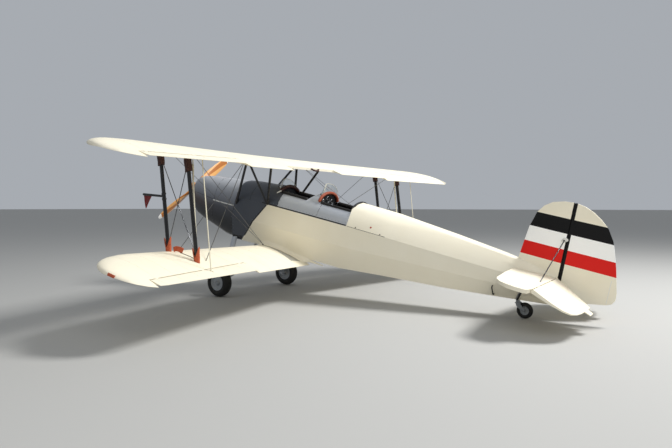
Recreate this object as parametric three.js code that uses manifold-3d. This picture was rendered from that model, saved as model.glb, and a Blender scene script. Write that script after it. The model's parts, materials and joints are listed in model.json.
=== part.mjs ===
// A two-seat open-cockpit biplane of the 1930s, parked on its wheels and tailwheel.
// Millimetres. +X is forward, +Y is to the pilot's left, +Z is up, and the ground is z = 0.
// The airframe is drawn level, in body axes whose origin is the middle of the main axle, with x
// along the propeller shaft. One group then pitches it nose-up about that axle to its parked pose.
import * as THREE from "three";
import { mergeVertices } from "three/addons/utils/BufferGeometryUtils.js";
import Module from "manifold-3d";

const wasm = await Module();
wasm.setup();

const rad = THREE.MathUtils.degToRad;

// Driving dimensions
const GROUND_ANGLE = 12.91; // degrees, nose up as parked
const WHEEL_RADIUS = 210;
const TYRE_WIDTH = 150;
const TRACK = 1576;
const WHEELBASE = 4191; // along the ground, main axle to tailwheel axle
const TAILWHEEL_RADIUS = 95;
const GAP = 0.3; // between pieces that touch

// The wings share one chord, sweep and section. z is the chord line's height at the centreline.
const CHORD = 1000;
const SWEEP = Math.tan(rad(11.06));
const UPPER = { leadingEdge: 276, z: 1824, dihedral: Math.tan(rad(1.42)) };
const LOWER = { leadingEdge: -117, z: 540, dihedral: Math.tan(rad(4.29)) };
const WING_THICKNESS = 0.09;
const WING_CAMBER = 0.035;
const CAMBER_PLACE = 0.4;
const TIP_MIDDLE = 0.5; // chord fraction at which the rounded tip reaches furthest out
const TIP_FRONT = { start: 3050, length: 650 };
const TIP_REAR = { start: 3350, length: 350 };
const CENTRE_HALF_SPAN = 640;
const LOWER_ROOT = 288;
const PANEL_GAP = 2;
const FRONT_SPAR = 0.128;
const REAR_SPAR = 0.587;
const STRUT_Y = 2476;
const FRONT_STRUT_FOOT = 0.15; // chord fractions at the lower wing
const REAR_STRUT_FOOT = 0.62;

// Ailerons, on all four wings
const AILERON_IN = 1715;
const AILERON_OUT = 3440;
const HINGE_IN = 0.745; // chord fraction of the hinge line at the inner end
const HINGE_OUT = 0.85;
const HINGE_CLEARANCE = 6;
const LEFT_AILERON_UP = 8; // degrees at rest
const LINK_Y = 2520;
const HINGE_BAND = 40; // length of the fittings that carry a hinged surface

// Fuselage
const FIREWALL_X = 395;
const STERNPOST_X = -4390;
const COCKPIT_REAR_X = -1660;
const FABRIC_WALL = 25;
const DECK_WALL = 8;
const DECK_CUT_Z = 1450;
const COCKPIT_FRONT_X = -370;
const FLOOR_Z = 715;

// Tail
const FIN_HINGE = { top: [-4371, 2172], bottom: [-4407, 1030] };
const TAILPLANE_Z = 1285;
const ELEVATOR_HINGE_X = -4385;
const ELEVATOR_DROOP = 20; // degrees at rest
const TAIL_THICKNESS = 40;

// Propeller
const THRUST_Z = 1105;
const PROPELLER_X = 1630.1;
const PROPELLER_RADIUS = 862;
const PROPELLER_ANGLE = -38.1; // degrees from +Y towards +Z, of the blade on the left side

const COLOURS = {
  cream: 0xf1ecd9,
  silver: 0xa4a8ad,
  darkGrey: 0x4a4d52,
  black: 0x17181a,
  wood: 0xb97a3a,
  leather: 0x8a3f22,
  tyre: 0x1b1b1c,
  hubGrey: 0xb9bcbf,
  steel: 0x8c8f93,
  wire: 0xcfcbbd,
  glass: 0xbfd3dc,
  castIron: 0x55575a,
  pennant: 0x7c1620,
};

function material(colour, roughness, metalness) {
  return new THREE.MeshStandardMaterial({ color: COLOURS[colour], roughness, metalness });
}
const MATERIALS = {
  fabric: material("cream", 0.55, 0),
  sheetMetal: material("silver", 0.45, 0.6),
  blackPaint: material("black", 0.4, 0),
  wood: material("wood", 0.35, 0),
  leather: material("leather", 0.7, 0),
  tyre: material("tyre", 0.85, 0),
  hub: material("hubGrey", 0.5, 0.2),
  steel: material("steel", 0.4, 0.8),
  wire: material("wire", 0.5, 0.3),
  glass: material("glass", 0.1, 0),
  castIron: material("castIron", 0.7, 0.7),
  pennant: material("pennant", 0.9, 0),
  innerGrey: material("darkGrey", 0.8, 0),
};

// Solids: three.js geometry made a manifold, joined and cut, and turned back

function signedVolume(positions, index) {
  const a = new THREE.Vector3();
  const b = new THREE.Vector3();
  const c = new THREE.Vector3();
  let volume = 0;
  for (let i = 0; i < index.length; i += 3) {
    a.fromArray(positions, 3 * index[i]);
    b.fromArray(positions, 3 * index[i + 1]);
    c.fromArray(positions, 3 * index[i + 2]);
    volume += a.dot(b.cross(c)) / 6;
  }
  return volume;
}

function solid(geometry) {
  const bare = new THREE.BufferGeometry();
  bare.setAttribute("position", geometry.getAttribute("position").clone());
  if (geometry.index) bare.setIndex(geometry.index.clone());
  const merged = mergeVertices(bare, 1e-3);
  const vertProperties = new Float32Array(merged.attributes.position.array);
  const triVerts = new Uint32Array(merged.index.array);
  if (signedVolume(vertProperties, triVerts) < 0) triVerts.reverse();
  return new wasm.Manifold(new wasm.Mesh({ numProp: 3, vertProperties, triVerts }));
}

function geometryOf(piece) {
  const mesh = piece.getMesh();
  const geometry = new THREE.BufferGeometry();
  geometry.setAttribute("position", new THREE.BufferAttribute(mesh.vertProperties, 3));
  geometry.setIndex(new THREE.BufferAttribute(mesh.triVerts, 1));
  geometry.computeVertexNormals();
  return geometry;
}

function moved(piece, matrix) {
  return solid(geometryOf(piece).applyMatrix4(matrix));
}

function shifted(piece, x, y, z) {
  return moved(piece, new THREE.Matrix4().makeTranslation(x, y, z));
}

function mirrored(piece) {
  return moved(piece, new THREE.Matrix4().makeScale(1, -1, 1));
}

function join(...pieces) {
  return pieces.reduce((whole, piece) => whole.add(piece));
}

function cut(piece, ...tools) {
  return tools.reduce((rest, tool) => rest.subtract(tool), piece);
}

// The largest body of a cut piece, without the crumbs that a cut can leave.
function largest(piece) {
  return piece.decompose().reduce((a, b) => (a.volume() > b.volume() ? a : b));
}

// The piece cut back so that it stays GAP clear of its neighbours on every side.
function clearOf(piece, ...neighbours) {
  let rest = piece;
  for (const neighbour of neighbours)
    for (const [x, y, z] of [[1, 0, 0], [-1, 0, 0], [0, 1, 0], [0, -1, 0], [0, 0, 1], [0, 0, -1]])
      rest = rest.subtract(shifted(neighbour, x * GAP, y * GAP, z * GAP));
  return largest(rest);
}

// Shapes

// A closed solid through rings of the same number of [x, y, z] points.
function loft(rings) {
  const count = rings[0].length;
  const positions = rings.flat(2);
  const index = [];
  for (let r = 0; r + 1 < rings.length; r++)
    for (let i = 0; i < count; i++) {
      const j = (i + 1) % count;
      const [a, b, c, d] = [r * count + i, r * count + j, (r + 1) * count + j, (r + 1) * count + i];
      index.push(a, b, c, a, c, d);
    }
  for (const r of [0, rings.length - 1]) {
    const ring = rings[r];
    const middle = positions.length / 3;
    for (const k of [0, 1, 2]) positions.push(ring.reduce((sum, p) => sum + p[k], 0) / count);
    for (let i = 0; i < count; i++) {
      const edge = [r * count + i, r * count + ((i + 1) % count)];
      if (r === 0) edge.reverse();
      index.push(edge[0], edge[1], middle);
    }
  }
  const geometry = new THREE.BufferGeometry();
  geometry.setAttribute("position", new THREE.Float32BufferAttribute(positions, 3));
  geometry.setIndex(index);
  return solid(geometry);
}

function shapeOf(points) {
  return new THREE.Shape(points.map(([u, v]) => new THREE.Vector2(u, v)));
}

// Prisms: an outline of [x, z] points drawn out along Y, and of [x, y] points along Z.
function prismY(points, y0, y1) {
  const geometry = new THREE.ExtrudeGeometry(shapeOf(points), { depth: y1 - y0, bevelEnabled: false });
  return solid(geometry.rotateX(Math.PI / 2).translate(0, y1, 0));
}

function prismZ(points, z0, z1) {
  const geometry = new THREE.ExtrudeGeometry(shapeOf(points), { depth: z1 - z0, bevelEnabled: false });
  return solid(geometry.translate(0, 0, z0));
}

function box(x0, x1, y0, y1, z0, z1) {
  const geometry = new THREE.BoxGeometry(x1 - x0, y1 - y0, z1 - z0);
  return solid(geometry.translate((x0 + x1) / 2, (y0 + y1) / 2, (z0 + z1) / 2));
}

// A frame at point a whose Y axis points at b and whose X axis lies as near as it can to along.
function frameBetween(a, b, along) {
  const from = new THREE.Vector3(...a);
  const y = new THREE.Vector3(...b).sub(from).normalize();
  const z = new THREE.Vector3(...along).cross(y).normalize();
  const x = y.clone().cross(z);
  return new THREE.Matrix4().makeBasis(x, y, z).setPosition(from);
}

// A bar from a to b with an elliptic section, width along the given direction.
function bar(a, b, width, thickness = width, sides = 8, along = [1, 0, 0]) {
  const length = new THREE.Vector3(...a).distanceTo(new THREE.Vector3(...b));
  const geometry = new THREE.CylinderGeometry(0.5, 0.5, length, sides);
  geometry.translate(0, length / 2, 0).scale(width, 1, thickness);
  return solid(geometry.applyMatrix4(frameBetween(a, b, along)));
}

// A round bar that tapers from radius ra at a to radius rb at b.
function cone(a, b, ra, rb, sides = 12) {
  const length = new THREE.Vector3(...a).distanceTo(new THREE.Vector3(...b));
  const geometry = new THREE.CylinderGeometry(rb, ra, length, sides).translate(0, length / 2, 0);
  const along = Math.abs(b[0] - a[0]) > 0.9 * length ? [0, 0, 1] : [1, 0, 0];
  return solid(geometry.applyMatrix4(frameBetween(a, b, along)));
}

// A solid of revolution about the Y axis through the given centre, from [radius, y] points.
function lathe(profile, segments, centre = [0, 0, 0]) {
  const points = profile.map(([r, y]) => new THREE.Vector2(r, y));
  return solid(new THREE.LatheGeometry(points, segments).translate(...centre));
}

// Wings

function camberAt(f) {
  const p = CAMBER_PLACE;
  if (f < p) return (WING_CAMBER / p ** 2) * (2 * p * f - f * f);
  return (WING_CAMBER / (1 - p) ** 2) * (1 - 2 * p + 2 * p * f - f * f);
}

function halfThicknessAt(f) {
  const t = 0.2969 * Math.sqrt(f) - 0.126 * f - 0.3516 * f ** 2 + 0.2843 * f ** 3 - 0.1018 * f ** 4;
  return 5 * WING_THICKNESS * t;
}

// Chord fractions of the front and rear of the wing at a span station, rounded at the tip.
function tipFront(y) {
  const s = Math.min(1, Math.max(0, (y - TIP_FRONT.start) / TIP_FRONT.length));
  return TIP_MIDDLE * (1 - Math.sqrt(1 - s * s));
}

function tipRear(y) {
  const s = Math.min(1, Math.max(0, (y - TIP_REAR.start) / TIP_REAR.length));
  return TIP_MIDDLE + (1 - TIP_MIDDLE) * Math.sqrt(1 - s * s);
}

// A point of the left wing's chord plane, dz above it.
function wingPoint(wing, y, fraction, dz = 0) {
  const swept = Math.abs(y) * SWEEP;
  return [wing.leadingEdge - swept - fraction * CHORD, y, wing.z + Math.abs(y) * wing.dihedral + dz];
}

const SECTION_FRACTIONS = [0, 0.015, 0.06, 0.15, 0.3, 0.5, 0.7, 0.85, 1];
const TIP_STATIONS = [3050, 3200, 3350, 3450, 3540, 3610, 3660, 3690, 3699];

function wingRing(wing, y) {
  const front = tipFront(y);
  const local = tipRear(y) - front;
  const depth = Math.min(1, local) ** 0.6;
  const point = (f, side) => {
    const height = camberAt(f) + side * Math.max(halfThicknessAt(f), 0.002);
    return wingPoint(wing, y, front + f * local, height * CHORD * depth);
  };
  const upper = SECTION_FRACTIONS.map((f) => point(f, 1));
  const lower = SECTION_FRACTIONS.slice(1).reverse().map((f) => point(f, -1));
  return [...upper, ...lower];
}

function wingBlank(wing, root) {
  return loft([root, ...TIP_STATIONS].map((y) => wingRing(wing, y)));
}

// The hinge line of the left aileron, at the middle of the section's depth. The nose's radius
// takes in the skin, which bulges a little between the line's two ends.
const NOSE_MARGIN = 0.4;

function hingePoint(wing, y) {
  const s = (y - AILERON_IN) / (AILERON_OUT - AILERON_IN);
  const f = HINGE_IN + s * (HINGE_OUT - HINGE_IN);
  const radius = halfThicknessAt(f) * CHORD + NOSE_MARGIN;
  return { at: wingPoint(wing, y, f, camberAt(f) * CHORD), radius };
}

function hingeMatrix(wing, degrees) {
  const a = new THREE.Vector3(...hingePoint(wing, AILERON_IN).at);
  const b = new THREE.Vector3(...hingePoint(wing, AILERON_OUT).at);
  const turn = new THREE.Matrix4().makeRotationAxis(b.sub(a).normalize(), rad(degrees));
  const back = new THREE.Matrix4().makeTranslation(-a.x, -a.y, -a.z);
  return new THREE.Matrix4().makeTranslation(a.x, a.y, a.z).multiply(turn).multiply(back);
}

// Everything behind the hinge line between two span stations.
function behindHinge(wing, y0, y1) {
  const [ax, bx] = [hingePoint(wing, y0).at[0], hingePoint(wing, y1).at[0]];
  const outline = [[ax, y0], [bx, y1], [bx - CHORD, y1], [ax - CHORD, y0]];
  return prismZ(outline, wing.z - CHORD, wing.z + CHORD);
}

const HINGE_SIDES = 20;
const RUNNING_CLEARANCE = 0.8; // at the hinge fittings
const END_CLEARANCE = 12; // beyond each end of an aileron

function hingeNose(a, b, ra, rb) {
  return cone(a, b, ra, rb, HINGE_SIDES);
}

// The groove in front of a hinged surface: wide, but close to its nose at the hinge fittings,
// which stand at the given fractions of its length.
function hingeGroove(a, b, ra, rb, fittings) {
  const at = (s) => a.map((value, k) => value + s * (b[k] - value));
  const length = new THREE.Vector3(...a).distanceTo(new THREE.Vector3(...b));
  const half = HINGE_BAND / 2 / length;
  const close = hingeNose(a, b, ra + RUNNING_CLEARANCE, rb + RUNNING_CLEARANCE);
  const wide = hingeNose(a, b, ra + HINGE_CLEARANCE, rb + HINGE_CLEARANCE);
  const blocks = fittings.map((s) => cone(at(s - half), at(s + half), 2 * ra, 2 * ra, 8));
  return join(close, cut(wide, ...blocks));
}

const AILERON_HINGES = [0.06, 0.5, 0.94];

function makeWing(wing, root) {
  const [y0, y1] = [AILERON_IN - END_CLEARANCE, AILERON_OUT + END_CLEARANCE];
  const [a, b] = [hingePoint(wing, y0), hingePoint(wing, y1)];
  const groove = hingeGroove(a.at, b.at, a.radius, b.radius, AILERON_HINGES);
  return largest(cut(wingBlank(wing, root), behindHinge(wing, y0, y1), groove));
}

// Where the link strut is pinned to an aileron, and the slot that the strut comes out of.
const LINK_ARM = 55; // behind the hinge line
const LINK_SLOT = { length: 60, width: 18, depth: 10 };

function linkFrame(wing) {
  const a = hingePoint(wing, LINK_Y).at;
  const b = hingePoint(wing, AILERON_OUT).at;
  return frameBetween(a, b, [1, 0, 0]);
}

function linkPin(wing, restAngle) {
  const pin = new THREE.Vector3(-LINK_ARM, 0, 0).applyMatrix4(linkFrame(wing));
  return pin.applyMatrix4(hingeMatrix(wing, restAngle)).toArray();
}

// side is 1 where the slot opens upwards and -1 where it opens downwards.
function makeAileron(wing, restAngle, side) {
  const [a, b] = [hingePoint(wing, AILERON_IN), hingePoint(wing, AILERON_OUT)];
  const nose = hingeNose(a.at, b.at, a.radius, b.radius);
  const bay = join(behindHinge(wing, AILERON_IN, AILERON_OUT), nose);
  const blank = wingBlank(wing, LOWER_ROOT).intersect(bay);
  const { length, width, depth } = LINK_SLOT;
  const [low, high] = side > 0 ? [-depth, 60] : [-60, depth];
  const slot = box(-LINK_ARM - length / 2, -LINK_ARM + length / 2, -width / 2, width / 2, low, high);
  const aileron = largest(cut(blank, moved(slot, linkFrame(wing))));
  return moved(aileron, hingeMatrix(wing, restAngle));
}

// The centre section of the upper wing, unswept, with its trailing edge cut away for the rear seat.
function makeCentreSection() {
  const ring = (y) => wingRing(UPPER, CENTRE_HALF_SPAN).map(([x, , z]) => [x, y, z]);
  const blank = loft([-CENTRE_HALF_SPAN, 0, CENTRE_HALF_SPAN].map(ring));
  const trailingX = wingPoint(UPPER, CENTRE_HALF_SPAN, 1)[0];
  const notch = { frontHalf: 588, rearHalf: 598, depth: 170 };
  const outline = [
    [trailingX + notch.depth, -notch.frontHalf],
    [trailingX + notch.depth, notch.frontHalf],
    [trailingX - 10, notch.rearHalf],
    [trailingX - 10, -notch.rearHalf],
  ];
  return cut(blank, prismZ(outline, 1000, 2500));
}

// Fuselage

// Half widths and heights of the three longerons down one side.
// x, top width, top z, middle width, middle z, bottom width, bottom z
const FUSELAGE_STATIONS = [
  [395, 305, 1185, 330, 900, 235, 552],
  [-255, 330, 1228, 356, 930, 280, 600],
  [-900, 332, 1238, 362, 948, 288, 625],
  [-1660, 322, 1246, 358, 964, 280, 655],
  [-2270, 290, 1242, 326, 994, 248, 732],
  [-3130, 205, 1224, 230, 1036, 172, 823],
  [-3730, 132, 1210, 148, 1060, 104, 899],
  [STERNPOST_X, 26, 1200, 28, 1092, 26, 988],
];

function fuselageAt(x) {
  const rows = FUSELAGE_STATIONS;
  const k = Math.max(1, rows.findIndex((row) => row[0] <= x));
  const s = (x - rows[k - 1][0]) / (rows[k][0] - rows[k - 1][0]);
  return rows[k].map((value, column) => rows[k - 1][column] + s * (value - rows[k - 1][column]));
}

function fuselageRing([x, topY, topZ, midY, midZ, lowY, lowZ], inset = 0, lift = 0) {
  return [
    [x, inset - lowY, lowZ + lift],
    [x, lowY - inset, lowZ + lift],
    [x, midY - inset, midZ],
    [x, topY - inset, topZ + (inset ? 100 : 0)],
    [x, inset - topY, topZ + (inset ? 100 : 0)],
    [x, inset - midY, midZ],
  ];
}

// Everything ahead of a slanted line, seen from the side: the metal-skinned front.
const SKIN_EDGE = { top: [-245, 1226], bottom: [133, 654] };

function aheadOfSkinEdge(shift) {
  const [tx, tz] = SKIN_EDGE.top;
  const [bx, bz] = SKIN_EDGE.bottom;
  const slope = (bx - tx) / (bz - tz);
  const xAt = (z) => tx + slope * (z - tz) + shift;
  return prismY([[xAt(1900), 1900], [2500, 1900], [2500, 300], [xAt(300), 300]], -900, 900);
}

function makeFuselageBlank() {
  const outer = loft(FUSELAGE_STATIONS.map((row) => fuselageRing(row)));
  const inside = [FIREWALL_X - 30, -255, -900, COCKPIT_REAR_X + 20].map((x) => fuselageAt(x));
  const hollow = loft(inside.map((row) => fuselageRing(row, FABRIC_WALL, FLOOR_Z - 15 - row[6])));
  return cut(outer, hollow);
}

// Decking: half-ellipse arches over the top longerons. x, ridge z
const DECK_RIDGE = [
  [395, 1470],
  [190, 1496],
  [-255, 1527],
  [-900, 1532],
  [-1660, 1532],
];
const ARCH_STEPS = 12;

function arch(x, halfWidth, footZ, ridgeZ, power = 1) {
  const points = [];
  for (let i = 0; i <= ARCH_STEPS; i++) {
    const angle = (Math.PI * i) / ARCH_STEPS;
    const rise = Math.sin(angle) ** power;
    points.push([x, halfWidth * Math.cos(angle), footZ + (ridgeZ - footZ) * rise]);
  }
  return points;
}

function deckArch([x, ridge], inset) {
  const [, topY, topZ] = fuselageAt(x);
  const ring = arch(x, topY - inset, topZ + GAP, ridge - inset);
  if (!inset) return ring;
  return [[x, topY - inset, topZ - 60], ...ring, [x, inset - topY, topZ - 60]];
}

function ridgeAt(x) {
  const rows = DECK_RIDGE;
  const k = Math.max(1, rows.findIndex((row) => row[0] <= x));
  const s = (x - rows[k - 1][0]) / (rows[k][0] - rows[k - 1][0]);
  return rows[k - 1][1] + s * (rows[k][1] - rows[k - 1][1]);
}

// Height of the decking's outer surface
function deckTop(x, y) {
  const [, topY, topZ] = fuselageAt(x);
  return topZ + (ridgeAt(x) - topZ) * Math.sqrt(1 - (y / topY) ** 2);
}

// The hood ahead of the rear cockpit. x, half width, ridge z
const HOOD_STATIONS = [
  [-858, 230, 1456],
  [-950, 240, 1545],
  [-1095, 246, 1590],
];
const HOOD_FOOT_Z = 1410;
const HOOD_POWER = 0.8;

function hoodArch([x, halfWidth, ridge], inset) {
  return arch(x, halfWidth - inset, HOOD_FOOT_Z - inset, ridge - inset, HOOD_POWER);
}

// The hood's station at any x along its rear part, or past its end
function hoodRow(x) {
  const [a, b] = HOOD_STATIONS.slice(1);
  const s = (x - a[0]) / (b[0] - a[0]);
  return a.map((value, k) => value + s * (b[k] - value));
}

// Height of the hood's outer surface
function hoodTop(x, y) {
  const [, halfWidth, ridge] = hoodRow(x);
  const sine = Math.sqrt(1 - (y / halfWidth) ** 2);
  return HOOD_FOOT_Z + (ridge - HOOD_FOOT_Z) * sine ** HOOD_POWER;
}

function makeDecking() {
  const outer = loft(DECK_RIDGE.map((row) => deckArch(row, 0)));
  const last = DECK_RIDGE.length - 1;
  const inner = loft(
    DECK_RIDGE.map(([x, ridge], i) => {
      const ring = deckArch([x, ridge], DECK_WALL);
      const past = i === 0 ? 20 : i === last ? -20 : 0;
      return ring.map(([px, py, pz]) => [px + past, py, pz]);
    }),
  );
  const topCut = box(COCKPIT_REAR_X - 20, COCKPIT_FRONT_X, -600, 600, DECK_CUT_Z, 2000);
  const sides = cut(outer, inner, topCut);
  const hoodOuter = loft(HOOD_STATIONS.map((row) => hoodArch(row, 0)));
  const [foremost, middle, rearmost] = HOOD_STATIONS;
  const innerRows = [[foremost[0] + DECK_WALL, ...foremost.slice(1)], middle, hoodRow(rearmost[0] - 20)];
  const hoodInner = loft(innerRows.map((row) => hoodArch(row, DECK_WALL)));
  return largest(join(sides, cut(hoodOuter, hoodInner)));
}

// Turtledeck behind the rear seat: stringered fabric. x, stringer half width, stringer z, ridge z
const TURTLE_STATIONS = [
  [-1660.5, 252, 1482, 1574],
  [-2270, 215, 1412, 1560],
  [-3130, 142, 1366, 1494],
  [-3730, 86, 1328, 1438],
  [STERNPOST_X, 24, 1286, 1346],
];

function makeTurtledeck() {
  const ring = ([x, y, z, ridge]) => {
    const [, topY, topZ] = fuselageAt(x);
    const shoulder = [0.5 * y, z + 0.72 * (ridge - z)];
    return [
      [x, -topY, topZ + GAP],
      [x, topY, topZ + GAP],
      [x, y, z],
      [x, ...shoulder],
      [x, 0, ridge],
      [x, -shoulder[0], shoulder[1]],
      [x, -y, z],
    ];
  };
  return loft(TURTLE_STATIONS.map(ring));
}

// Engine cowling. x, half width, lowest z, highest z
const COWL_STATIONS = [
  [1575, 62, 1005, 1216],
  [1548, 100, 885, 1258],
  [1490, 140, 772, 1300],
  [1400, 176, 712, 1342],
  [1200, 218, 655, 1384],
  [900, 256, 594, 1414],
  [650, 286, 540, 1438],
  [FIREWALL_X + GAP, 312, 522, 1468],
];
const COWL_WALL = 8;
const COWL_SIDES = 20;

function cowlRing([x, halfWidth, low, high], inset) {
  const ring = [];
  for (let i = 0; i < COWL_SIDES; i++) {
    const angle = (2 * Math.PI * i) / COWL_SIDES;
    const [c, s] = [Math.cos(angle), Math.sin(angle)];
    const y = (halfWidth - inset) * Math.sign(c) * Math.abs(c) ** 0.8;
    const z = (high + low) / 2 + ((high - low) / 2 - inset) * Math.sign(s) * Math.abs(s) ** 0.85;
    ring.push([x, y, z]);
  }
  return ring;
}

function makeCowl() {
  const outer = loft(COWL_STATIONS.map((row) => cowlRing(row, 0)));
  const last = COWL_STATIONS.length - 1;
  const innerRows = COWL_STATIONS.slice(1).map(([x, ...rest], i) => [i + 1 === last ? x - 5 : x, ...rest]);
  const inner = loft(innerRows.map((row) => cowlRing(row, COWL_WALL)));
  const shaftHole = cone([1500, 0, THRUST_Z], [1700, 0, THRUST_Z], 48, 48, 16);
  const intake = cone([1400, 0, 940], [1700, 0, 940], 45, 45, 12);
  const outlet = box(FIREWALL_X - 5, 560, -150, 150, 480, 560);
  return largest(cut(outer, inner, shaftHole, intake, outlet));
}

// Cabane and interplane struts

const CABANE = {
  frontFoot: [FIREWALL_X - 12, 296, 1070],
  rearFoot: [-255, 326, 1228],
  frontTop: wingPoint(UPPER, 590, FRONT_SPAR, 0),
  rearTop: wingPoint(UPPER, 590, REAR_SPAR, 0),
};

function makeCabane() {
  const { frontFoot, rearFoot, frontTop, rearTop } = CABANE;
  const struts = [[frontFoot, frontTop], [rearFoot, frontTop], [rearFoot, rearTop]];
  const whole = join(...struts.map(([a, b]) => bar(a, b, 44, 22)));
  return clearOf(whole, centreSection, forwardPanels, fuselage, decking);
}

function makeInterplane(foot, spar) {
  const low = wingPoint(LOWER, STRUT_Y, foot, 0);
  const high = wingPoint(UPPER, STRUT_Y, spar, 20);
  return clearOf(bar(low, high, 60, 28), leftUpper, lowerWings[0]);
}

// Rigging. Two flying wires fan out from a lug at the lower wing's root to the tops of the
// interplane struts, and two landing wires from a lug under the upper wing to the struts' feet.
const WIRE = { width: 9, thickness: 6, sides: 6 };
const WIRE_END_Y = STRUT_Y - 110;
// Lugs: span station, chord fraction, lower and upper end above the chord line
const FLYING_LUG = { y: 330, fraction: FRONT_SPAR, low: 30, high: 74 };
const LANDING_LUG = { y: 690, fraction: 0.15, low: -38, high: 0 };
const LUG_RADIUS = 11;

function makeWires(lug, ends) {
  const wires = ends.map((end) => bar(lug, end, WIRE.width, WIRE.thickness, WIRE.sides));
  return join(...wires);
}

function makeFlyingWires() {
  const lugAt = (dz) => wingPoint(LOWER, FLYING_LUG.y, FLYING_LUG.fraction, dz);
  const lug = cone(lugAt(FLYING_LUG.low), lugAt(FLYING_LUG.high), LUG_RADIUS, LUG_RADIUS);
  const ends = [FRONT_SPAR, REAR_SPAR].map((spar) => wingPoint(UPPER, WIRE_END_Y, spar, 20));
  const wires = makeWires(lugAt(FLYING_LUG.high - WIRE.thickness), ends);
  return clearOf(join(lug, wires), leftUpper, lowerWings[0]);
}

function makeLandingWires() {
  const lugAt = (dz) => wingPoint(UPPER, LANDING_LUG.y, LANDING_LUG.fraction, dz);
  const lug = cone(lugAt(LANDING_LUG.low), lugAt(LANDING_LUG.high), LUG_RADIUS, LUG_RADIUS);
  const feet = [FRONT_STRUT_FOOT, REAR_STRUT_FOOT];
  const ends = feet.map((foot) => wingPoint(LOWER, WIRE_END_Y, foot, 20));
  const wires = makeWires(lugAt(LANDING_LUG.low + WIRE.thickness), ends);
  return clearOf(join(lug, wires), leftUpper, lowerWings[0]);
}

// The strut that links the upper and lower ailerons, with a cross pin at each end.
const LINK_RADIUS = 6;
const LINK_PIN = { radius: 4, length: LINK_SLOT.width - 2 * GAP, upperLength: LINK_SLOT.width - 6 };

function makeAileronLink(restAngle) {
  const [low, high] = [linkPin(LOWER, restAngle), linkPin(UPPER, restAngle)];
  const pin = (wing, at, length) => {
    const [a, b] = [hingePoint(wing, LINK_Y).at, hingePoint(wing, AILERON_OUT).at];
    const along = new THREE.Vector3(...b).sub(new THREE.Vector3(...a)).setLength(length / 2);
    const middle = new THREE.Vector3(...at);
    const ends = [middle.clone().sub(along), middle.clone().add(along)].map((p) => p.toArray());
    return cone(...ends, LINK_PIN.radius, LINK_PIN.radius, 8);
  };
  const rod = cone(low, high, LINK_RADIUS, LINK_RADIUS, 8);
  return join(rod, pin(LOWER, low, LINK_PIN.length), pin(UPPER, high, LINK_PIN.upperLength));
}

// Cockpits

const SEAT_Z = 990;
const FLOOR_TOP = FLOOR_Z - 15 + GAP;

function makeSeat(backX) {
  const pan = box(backX - 12, backX + 300, -175, 175, SEAT_Z - 5, SEAT_Z + 10);
  const back = prismY(
    [[backX - 12, SEAT_Z], [backX + 10, SEAT_Z], [backX - 8, 1370], [backX - 30, 1370]],
    -165,
    165,
  );
  const pedestal = box(backX + 20, backX + 240, -120, 120, FLOOR_TOP, SEAT_Z);
  const cheek = (y) =>
    prismY([[backX, SEAT_Z], [backX + 280, SEAT_Z], [backX + 240, 1060], [backX - 5, 1150]], y, y + 12);
  return join(pan, back, pedestal, cheek(-175), cheek(163));
}

// An upright plate under an arch of the decking.
const PANEL_THICKNESS = 8;

function makePanel(x, archPoints, halfWidth, lowZ) {
  const edge = archPoints.map(([, y, z]) => [Math.min(halfWidth, Math.max(-halfWidth, y)), z]);
  const points = [...edge, [-halfWidth, lowZ], [halfWidth, lowZ]];
  const plate = { depth: PANEL_THICKNESS, bevelEnabled: false };
  const geometry = new THREE.ExtrudeGeometry(shapeOf(points), plate);
  const upright = new THREE.Matrix4().makeBasis(
    new THREE.Vector3(0, 1, 0),
    new THREE.Vector3(0, 0, 1),
    new THREE.Vector3(1, 0, 0),
  );
  return solid(geometry.applyMatrix4(upright).translate(x, 0, 0));
}

function makeStick(x) {
  const boot = cone([x, 0, FLOOR_TOP], [x, 0, FLOOR_TOP + 50], 45, 22);
  const tube = cone([x, 0, FLOOR_TOP + 40], [x - 40, 0, FLOOR_TOP + 430], 12, 12, 8);
  const grip = cone([x - 38, 0, FLOOR_TOP + 400], [x - 52, 0, FLOOR_TOP + 530], 17, 20, 8);
  return join(boot, tube, grip);
}

// A bent windscreen that stands on the surface given by its height function. Plan rows run from
// the middle out: back from the front, half width, share of the full height.
const SCREEN_PLAN = [[0, 0, 1], [20, 80, 0.96], [60, 140, 0.8], [105, 172, 0.45]];
const SCREEN_THICKNESS = 5;

function makeWindscreen(frontX, surface, topZ, lean) {
  const ring = ([back, y, share], side) => {
    const x = frontX - back;
    const foot = surface(x - SCREEN_THICKNESS, y) - 4;
    const top = foot + (topZ - surface(frontX, 0)) * share;
    const topX = x - lean * share;
    const corners = [[x, foot], [topX, top], [topX - SCREEN_THICKNESS, top], [x - SCREEN_THICKNESS, foot]];
    return corners.map(([px, pz]) => [px, side * y, pz]);
  };
  const left = SCREEN_PLAN.map((row) => ring(row, 1)).reverse();
  const right = SCREEN_PLAN.slice(1).map((row) => ring(row, -1));
  return clearOf(loft([...left, ...right]), decking);
}

// Tail

function hingeXAt(z) {
  const [tx, tz] = FIN_HINGE.top;
  const [bx, bz] = FIN_HINGE.bottom;
  return bx + ((z - bz) / (tz - bz)) * (tx - bx);
}

// A lens-shaped upright solid over the fin and rudder, thickest at the hinge.
function tailLens() {
  const h = TAIL_THICKNESS / 2;
  const outline = [[-3850, 0], [-3950, 9], [-4200, h], [-4400, h], [-4700, 0.6 * h], [-5040, 4]];
  const back = outline.slice(1).reverse().map(([x, y]) => [x, -y]);
  return prismZ([...outline, ...back], 800, 2400);
}

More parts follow.
